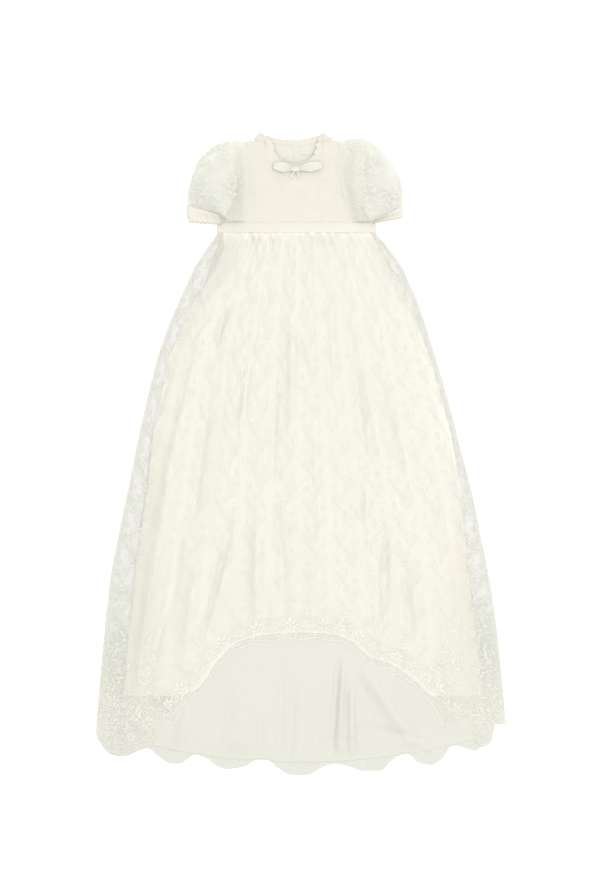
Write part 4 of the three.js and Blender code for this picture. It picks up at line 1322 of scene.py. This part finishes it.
# %% A smooth curve through the sections
# Bend of the right armhole to the left, from shoulder to underarm, and how it fades down the sleeve.
ARMHOLE_TOWARD = (0, 0.15, 0.42, 0.67, 0.88, 1)
ARMHOLE_BEND = (0, 2.6, 9.5, 8, 4, 0)
BEND_SHARE = {"left": (0, 0), "right": (1, 0.7, 0.4, 0.1, 0, 0, 0, 0)}


def curve_through(values, t):
    """Smooth curve through evenly placed values."""
    values = np.asarray(values, float)
    place = np.clip(t, 0, 1) * (len(values) - 1)
    i = np.minimum(place.astype(int), len(values) - 2)
    f = place - i
    before, start = values[np.maximum(i - 1, 0)], values[i]
    end, after = values[i + 1], values[np.minimum(i + 2, len(values) - 1)]
    pull = 2 * before - 5 * start + 4 * end - after
    twist = 3 * start - before - 3 * end + after
    return 0.5 * (2 * start + (end - before) * f + pull * f**2 + twist * f**3)


print("half way down the right sleeve in mm:", curve_through(SLEEVES["right"], np.array([0.5])).round(1))

# %% A flattened tube, seated on the bodice
# Shares of the way across, of the height and of the length, and the power that rounds the dome.
# The wall is in millimetres.
UNDERARM_FROM = 0.15
UNDERARM_FULL = 0.42
MIDDLE = 0.35
LEVEL_PART = 0.75
LIFTED = 0.62
DOME = 2.4
ARMHOLE_RISE = 0.16
WALL = 0.6
bodice_surface = surface_of(bodice.data)


def lay_tube(rows, u, v, wave, bend=(0, 0), seat=None):
    """Flattened tube through sections: over the top for the first half of u, back underneath. With
    a seat, the start of the tube is brought down to it, as to a seam."""
    outer_x, outer_y, inner_x, inner_y, height, lift = (curve_through(c, v) for c in zip(*rows))
    above = u <= 0.5
    side = -np.cos(2 * np.pi * u)
    toward = (1 + side) / 2
    raised = lift * ease((toward - UNDERARM_FROM) / (UNDERARM_FULL - UNDERARM_FROM))
    summit = np.maximum(height, raised + height * LIFTED)
    middle = raised + (summit - raised) * MIDDLE
    dome = np.sqrt(np.maximum(0, 1 - np.abs(side) ** DOME))
    level = ease((np.abs(side) - LEVEL_PART) / (1 - LEVEL_PART))
    crown = middle + (summit - WALL - middle) * dome + wave(v, toward) * dome
    floor = raised + WALL + (middle - raised - WALL) * level
    z = np.where(above, crown, floor)
    bent = np.interp(toward, ARMHOLE_TOWARD, ARMHOLE_BEND)
    x = outer_x + (inner_x - outer_x) * toward - curve_through(bend, v) * bent
    y = outer_y + (inner_y - outer_y) * toward
    if seat:
        sewn = drop(seat, x * MM, y * MM) / MM + np.where(above, 0.8, 0.4)
        z = sewn + (z - sewn) * ease(v / ARMHOLE_RISE)
    return x * MM, y * MM, z * MM


# %% Gathers of sleeves and cuffs
def sleeve_wave(along, toward):
    """Gathers that are deep at both ends of the puff and fade in its middle."""
    ends = np.abs(2 * along - 1) ** 2.5
    uneven = 9 * toward + 0.6 * np.sin(9 * toward)
    soft = 0.6 * np.sin(2 * np.pi * (3 * toward + 0.4 * along))
    return 1.1 * ends * np.sin(2 * np.pi * uneven) * (0.6 + 0.4 * np.sin(14 * toward)) + soft


def ruffle(u, v):
    """Places along a frill whose free edge is longer at each gather."""
    toward = 0.5 - 0.5 * np.cos(2 * np.pi * u)
    return v * (0.93 + 0.07 * np.sin(2 * np.pi * 9 * toward + 2 * np.sin(8 * toward)))


def cuff_wave(along, toward):
    """Gathers of the frill below a drawn-in line, uneven as an elastic leaves them."""
    uneven = 0.65 + 0.35 * np.sin(13 * toward + 2)
    gathers = np.sin(2 * np.pi * (10 * toward + 0.5 * np.sin(8 * toward)))
    drawn_in = -1.8 * np.exp(-(((along - 0.45) / 0.1) ** 2))
    return 1.1 * (0.3 + 0.7 * along) * uneven * gathers + drawn_in


# %% Sleeves and cuffs
ARM_CLOSE = 0.3
ARM_FROM = 82 * MM
ARM_FADE = 24 * MM


def close_arm(x, y):
    """The net is gathered more closely at the armhole, and its thread there is painted lighter against the
    shade beside the seam.
    """
    return ARM_CLOSE * (1 - ease((np.abs(x) - ARM_FROM) / ARM_FADE))


for side in ("left", "right"):
    sleeve = cloth(
        f"sleeve_{side}_net",
        120,
        48,
        lambda u, v: lay_tube(SLEEVES[side], u, v, sleeve_wave, BEND_SHARE[side], bodice_surface),
        sleeve_net_painted_light,
        NET,
        cut=flat_cut(0.26, 0.13),
        closed=True,
        close=close_arm,
    )
    sew_on(sleeve, "lace", f"sleeve_{side}")
    cuff = cloth(
        f"cuff_{side}_frill",
        144,
        20,
        lambda u, v: lay_tube(CUFFS[side], u, ruffle(u, v), cuff_wave),
        frill_net,
        CLOTH,
        cut=flat_cut(0.2, 0.02),
        closed=True,
    )
    sew_on(cuff, "lace", f"cuff_{side}")

# %% Embroidery of the sleeves
SLEEVE_SPRIGS = {
    "left": [
        (-146, 450, 40), (-150, 412, 15), (-160, 392, 24), (-106, 414, 0), (-120, 468, 30), (-126, 386, 10),
    ],
    "right": [
        (86, 462, -14), (92, 428, -4), (98, 396, 8), (114, 446, -24), (120, 404, -12), (140, 392, -16),
    ],
}
for side in ("left", "right"):
    tube = surface_of(bpy.data.objects[f"sleeve_{side}_net"].data)
    piece = embroider(
        f"sleeve_{side}_embroidery",
        strew(SLEEVE_SPRIGS[side], 0.85, (-176, 170), 20, 17, 0.8),
        lambda x, y: drop(tube, x, y, missed=-1.0) > 0,
        tube,
        shaded_thread,
        CLEAR,
    )
    sew_on(piece, "lace")

# %% [markdown]
# ## Neck frill
# A narrow gathered frill stands round the neck. It is a strip whose free edge is longer than its
# seam, so it has to wave. Simulated cloth would find such waves too, but here their number and
# their unevenness are chosen, and one function lays the frill of the front and of the back.

# %% Neck frill in millimetres
# Seam and free edge in plan, from the left tip to the right tip.
FRONT_FRILL = [
    (-66, 487.5, -73, 490.5), (-58, 488, -67, 497.5), (-54.8, 486.5, -60, 500),
    (-53.5, 478, -44, 484), (-51, 464, -40, 469),
    (-41.5, 451, -32, 460), (-26, 442.5, -21, 454), (-10, 439.5, -10, 451.5), (6.5, 442.5, 3, 454),
    (22, 451, 14, 460), (31.5, 464, 21.5, 469), (33, 478, 25, 484), (33.4, 486.5, 34, 500),
    (37, 488.5, 41, 496), (45, 487.5, 51, 490.5),
]
BACK_FRILL = [
    (-58, 490.3, -65, 499), (-44, 485, -49, 495), (-28, 481.3, -30, 490.5), (-11, 480.3, -11, 489),
    (6, 481.3, 8, 491.5), (22, 485, 23.5, 495.5), (36, 490.3, 38, 498),
]
print("frill rows:", len(FRONT_FRILL) + len(BACK_FRILL))

# %% Laying the frill
FRILL_LAP = 0.12
FRILL_CLEAR = 0.35
FRILL_TALL = 1.1
FRILL_SWAY = 1.4


def lay_frill(rows, u, v, waves, seats):
    """Frill whose seam edge laps a little over the cloth that it is sewn to."""
    seam_x, seam_y, edge_x, edge_y = (curve_through(c, u) for c in zip(*rows))
    swing = 2 * np.pi * (waves * u + 0.5 * np.sin(11 * u) + 0.2 * np.sin(31 * u))
    uneven = 0.6 + 0.4 * np.sin(17 * u + 1)
    wave = (0.5 - 0.5 * np.cos(swing)) * uneven
    sway = FRILL_SWAY * v * np.sin(swing) * uneven
    reach = v * (1 + FRILL_LAP) - FRILL_LAP
    x = seam_x + (edge_x - seam_x) * reach + sway
    y = seam_y + (edge_y - seam_y) * reach
    heights = [drop(seat, x[:1] * MM, y[:1] * MM) / MM for seat in seats]
    seam = soften(np.max(heights, axis=0), 6)
    z = seam + FRILL_CLEAR + FRILL_TALL * wave * (0.05 + 0.95 * v)
    return x * MM, y * MM, z * MM


front_frill = cloth(
    "neck_frill_front_lace",
    300,
    8,
    lambda u, v: lay_frill(FRONT_FRILL, u, v, 24, [bodice_surface]),
    neck_net,
    CLOTH,
    cut=flat_cut(0.3, 0.012),
)
sew_on(front_frill, "lace", "neck_frill_front")
back_halves = [bpy.data.objects[f"bodice_back_{half}_cloth"] for half in ("left", "right")]
back_surfaces = [surface_of(half.data) for half in back_halves]
back_frill = cloth(
    "neck_frill_back_lace",
    160,
    8,
    lambda u, v: lay_frill(BACK_FRILL, u, v, 12, back_surfaces),
    neck_net,
    CLOTH,
    cut=flat_cut(0.16, 0.01),
)
sew_on(back_frill, "lace", "neck_frill_back")

# %% [markdown]
# ## Ribbon bow
# A small bow is sewn at the front of the neck: two loops, two short tails and a knot. Each loop is
# one ribbon that leaves the knot underneath and comes back on top, narrow where the knot holds it.
# It could be simulated, but such a small bow keeps its shape, so a formula bends its ribbon. The
# knot is a ball pressed to the shape of wound ribbon, with small pleats round it.

# %% Loops of the bow
BOW = Vector((-8 * MM, 443 * MM, 8.6 * MM))
BOW_TILT = 0.15
LOOP_LENGTH = {"left": 31 * MM, "right": 38 * MM}
LOOP_HEIGHT = 3.4 * MM
LOOP_START = 4.3 * MM
RIBBON_WIDE = 16 * MM
WAYS = {"left": -1, "right": 1}


def lay_loop(u, v, way, length):
    """Ribbon that leaves the knot underneath, turns at the far end and comes back on top."""
    angle = 2 * np.pi * u - np.pi
    share = 0.5 + 0.5 * np.cos(angle)
    thick = LOOP_HEIGHT * (0.5 + 0.42 * np.sin(angle) * np.sqrt(share))
    taper = (0.45 + 0.55 * ease(1.7 * share)) * (1 - 0.38 * share**4)
    aside = RIBBON_WIDE * (v - 0.5) * taper
    rolled = 0.4 * MM * (2 * v - 1) ** 2 * share * np.sign(np.sin(angle))
    pucker = 0.7 * MM * np.cos(5 * np.pi * (v - 0.5)) * (1 - share)
    out = LOOP_START + length * share * (1 - 0.06 * (2 * v - 1) ** 2)
    turn = BOW_TILT if way > 0 else math.pi - BOW_TILT
    x = BOW.x + out * math.cos(turn) - aside * math.sin(turn)
    y = BOW.y + out * math.sin(turn) + aside * math.cos(turn)
    return x, y, BOW.z + thick - rolled + pucker


for side, way in WAYS.items():
    loop = cloth(
        f"bow_{side}_ribbon",
        48,
        14,
        lambda u, v: lay_loop(u, v, way, LOOP_LENGTH[side]),
        bow_satin_painted_shading,
        CLOTH,
        cut=flat_cut(0.07, RIBBON_WIDE),
    )
    sew_on(loop, "ribbon", f"bow_loop_{side}")

# %% Tails of the bow
TAIL_LENGTH = 12 * MM
TAIL_WIDE = 6 * MM
TAIL_SPREAD = 0.45
TAIL_APART = 2.6 * MM
TAIL_DOWN = 4.3 * MM


def lay_tail(u, v, way):
    """Tail that falls from the knot to the bodice, with a notched end."""
    down = TAIL_LENGTH * (1 - v) - 0.5 * TAIL_WIDE * (1 - np.abs(2 * u - 1)) * (1 - v)
    aside = TAIL_WIDE * (u - 0.5) * (1 - 0.4 * v)
    turn = way * TAIL_SPREAD
    x = BOW.x + way * TAIL_APART + aside * math.cos(turn) + down * math.sin(turn)
    y = BOW.y - TAIL_DOWN + aside * math.sin(turn) - down * math.cos(turn)
    low = drop(bodice_surface, x, y) + 0.6 * MM
    return x, y, low + (BOW.z + HALF_WALL - low) * v**1.5 + 0.3 * MM * np.sin(7 * v + 2 * u)


for side, way in WAYS.items():
    tail = cloth(
        f"bow_{side}_tail",
        8,
        14,
        lambda u, v: lay_tail(u, v, way),
        bow_satin_painted_shading,
        CLOTH,
        cut=flat_cut(TAIL_WIDE, TAIL_LENGTH),
    )
    sew_on(tail, "ribbon", f"bow_tail_{side}")

# %% Knot of the bow
KNOT_WIDE = 0.9
KNOT_LONG = 0.58
KNOT_HALF_TALL = 2.2 * MM
KNOT_PLEATS = 9
knot_low, knot_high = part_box("bow_knot")
knot_room = knot_high - knot_low
knot_place = (knot_low + knot_high) / 2
knot_place.z = BOW.z + LOOP_HEIGHT / 2 + 0.3 * MM
knot_size = Vector((KNOT_WIDE * knot_room.x, KNOT_LONG * knot_room.y, KNOT_HALF_TALL))
knot_ball = bmesh.new()
bmesh.ops.create_uvsphere(knot_ball, u_segments=24, v_segments=14, radius=1)
for point in knot_ball.verts:
    round_knot = math.cos(KNOT_PLEATS * math.atan2(point.co.z, point.co.x))
    pleat = 1 + 0.06 * round_knot * (1 - abs(point.co.y))
    point.co.x *= pleat
    point.co.z *= pleat
bmesh.ops.scale(knot_ball, vec=knot_size, verts=knot_ball.verts)
bmesh.ops.translate(knot_ball, vec=knot_place, verts=knot_ball.verts)
knot_mesh = bpy.data.meshes.new("bow_knot_ribbon")
knot_ball.to_mesh(knot_mesh)
knot_ball.free()
write_cut(knot_mesh, np.array([point.co[:2] for point in knot_mesh.vertices]))
sew_on(show(knot_mesh, bow_satin_painted_shading), "ribbon", "bow_knot")
print("knot in mm:", [round(2 * s / MM, 1) for s in knot_size])

# %% [markdown]
# ## Studio
# The gown lies on a plain white floor under a wide soft light, a little brighter from the right.
# The floor is lit past white, as in a picture that has been cut out, and the ivory stays under it.

# %% Floor
floor_mesh = bpy.data.meshes.new("floor")
floor_grid = bmesh.new()
bmesh.ops.create_grid(floor_grid, x_segments=1, y_segments=1, size=4)
floor_grid.to_mesh(floor_mesh)
floor_grid.free()
floor_finish = bpy.data.materials.new("floor_white")
floor_finish.use_nodes = True
floor_shader = floor_finish.node_tree.nodes["Principled BSDF"]
floor_shader.inputs["Base Color"].default_value = (0.95, 0.95, 0.95, 1)
floor_shader.inputs["Roughness"].default_value = 0.9
floor_mesh.materials.append(floor_finish)
floor = bpy.data.objects.new("floor", floor_mesh)
bpy.context.scene.collection.objects.link(floor)
print("floor in m:", list(floor.dimensions[:2]))

# %% Light from all round, and a wide lamp
world = bpy.data.worlds.new("studio")
world.use_nodes = True
background = world.node_tree.nodes["Background"]
background.inputs["Color"].default_value = (1, 1, 1, 1)
background.inputs["Strength"].default_value = 1.12
bpy.context.scene.world = world

lamp_data = bpy.data.lights.new("softbox", "AREA")
lamp_data.shape = "RECTANGLE"
lamp_data.size, lamp_data.size_y = 1.6, 1.6
lamp_data.energy = 62
lamp = bpy.data.objects.new("softbox", lamp_data)
lamp.location = (0.45, 0.3, 3.1)
lamp.rotation_euler = (Vector((0, 0, 0)) - lamp.location).to_track_quat("-Z", "Y").to_euler()
bpy.context.scene.collection.objects.link(lamp)
print("lamp in W:", lamp_data.energy)

# %% Camera, straight above
FRAME_HEIGHT = 1.3696
CAMERA_HEIGHT = 4.0
camera_data = bpy.data.cameras.new("camera")
camera_data.sensor_fit = "VERTICAL"
camera_data.sensor_height = 36
camera_data.lens = camera_data.sensor_height * CAMERA_HEIGHT / FRAME_HEIGHT
camera = bpy.data.objects.new("camera", camera_data)
camera.location = (-1.17 * MM, 22.2 * MM, CAMERA_HEIGHT)
bpy.context.scene.collection.objects.link(camera)
bpy.context.scene.camera = camera
bpy.context.scene.view_settings.view_transform = "Standard"
print("lens in mm:", round(camera_data.lens, 1))
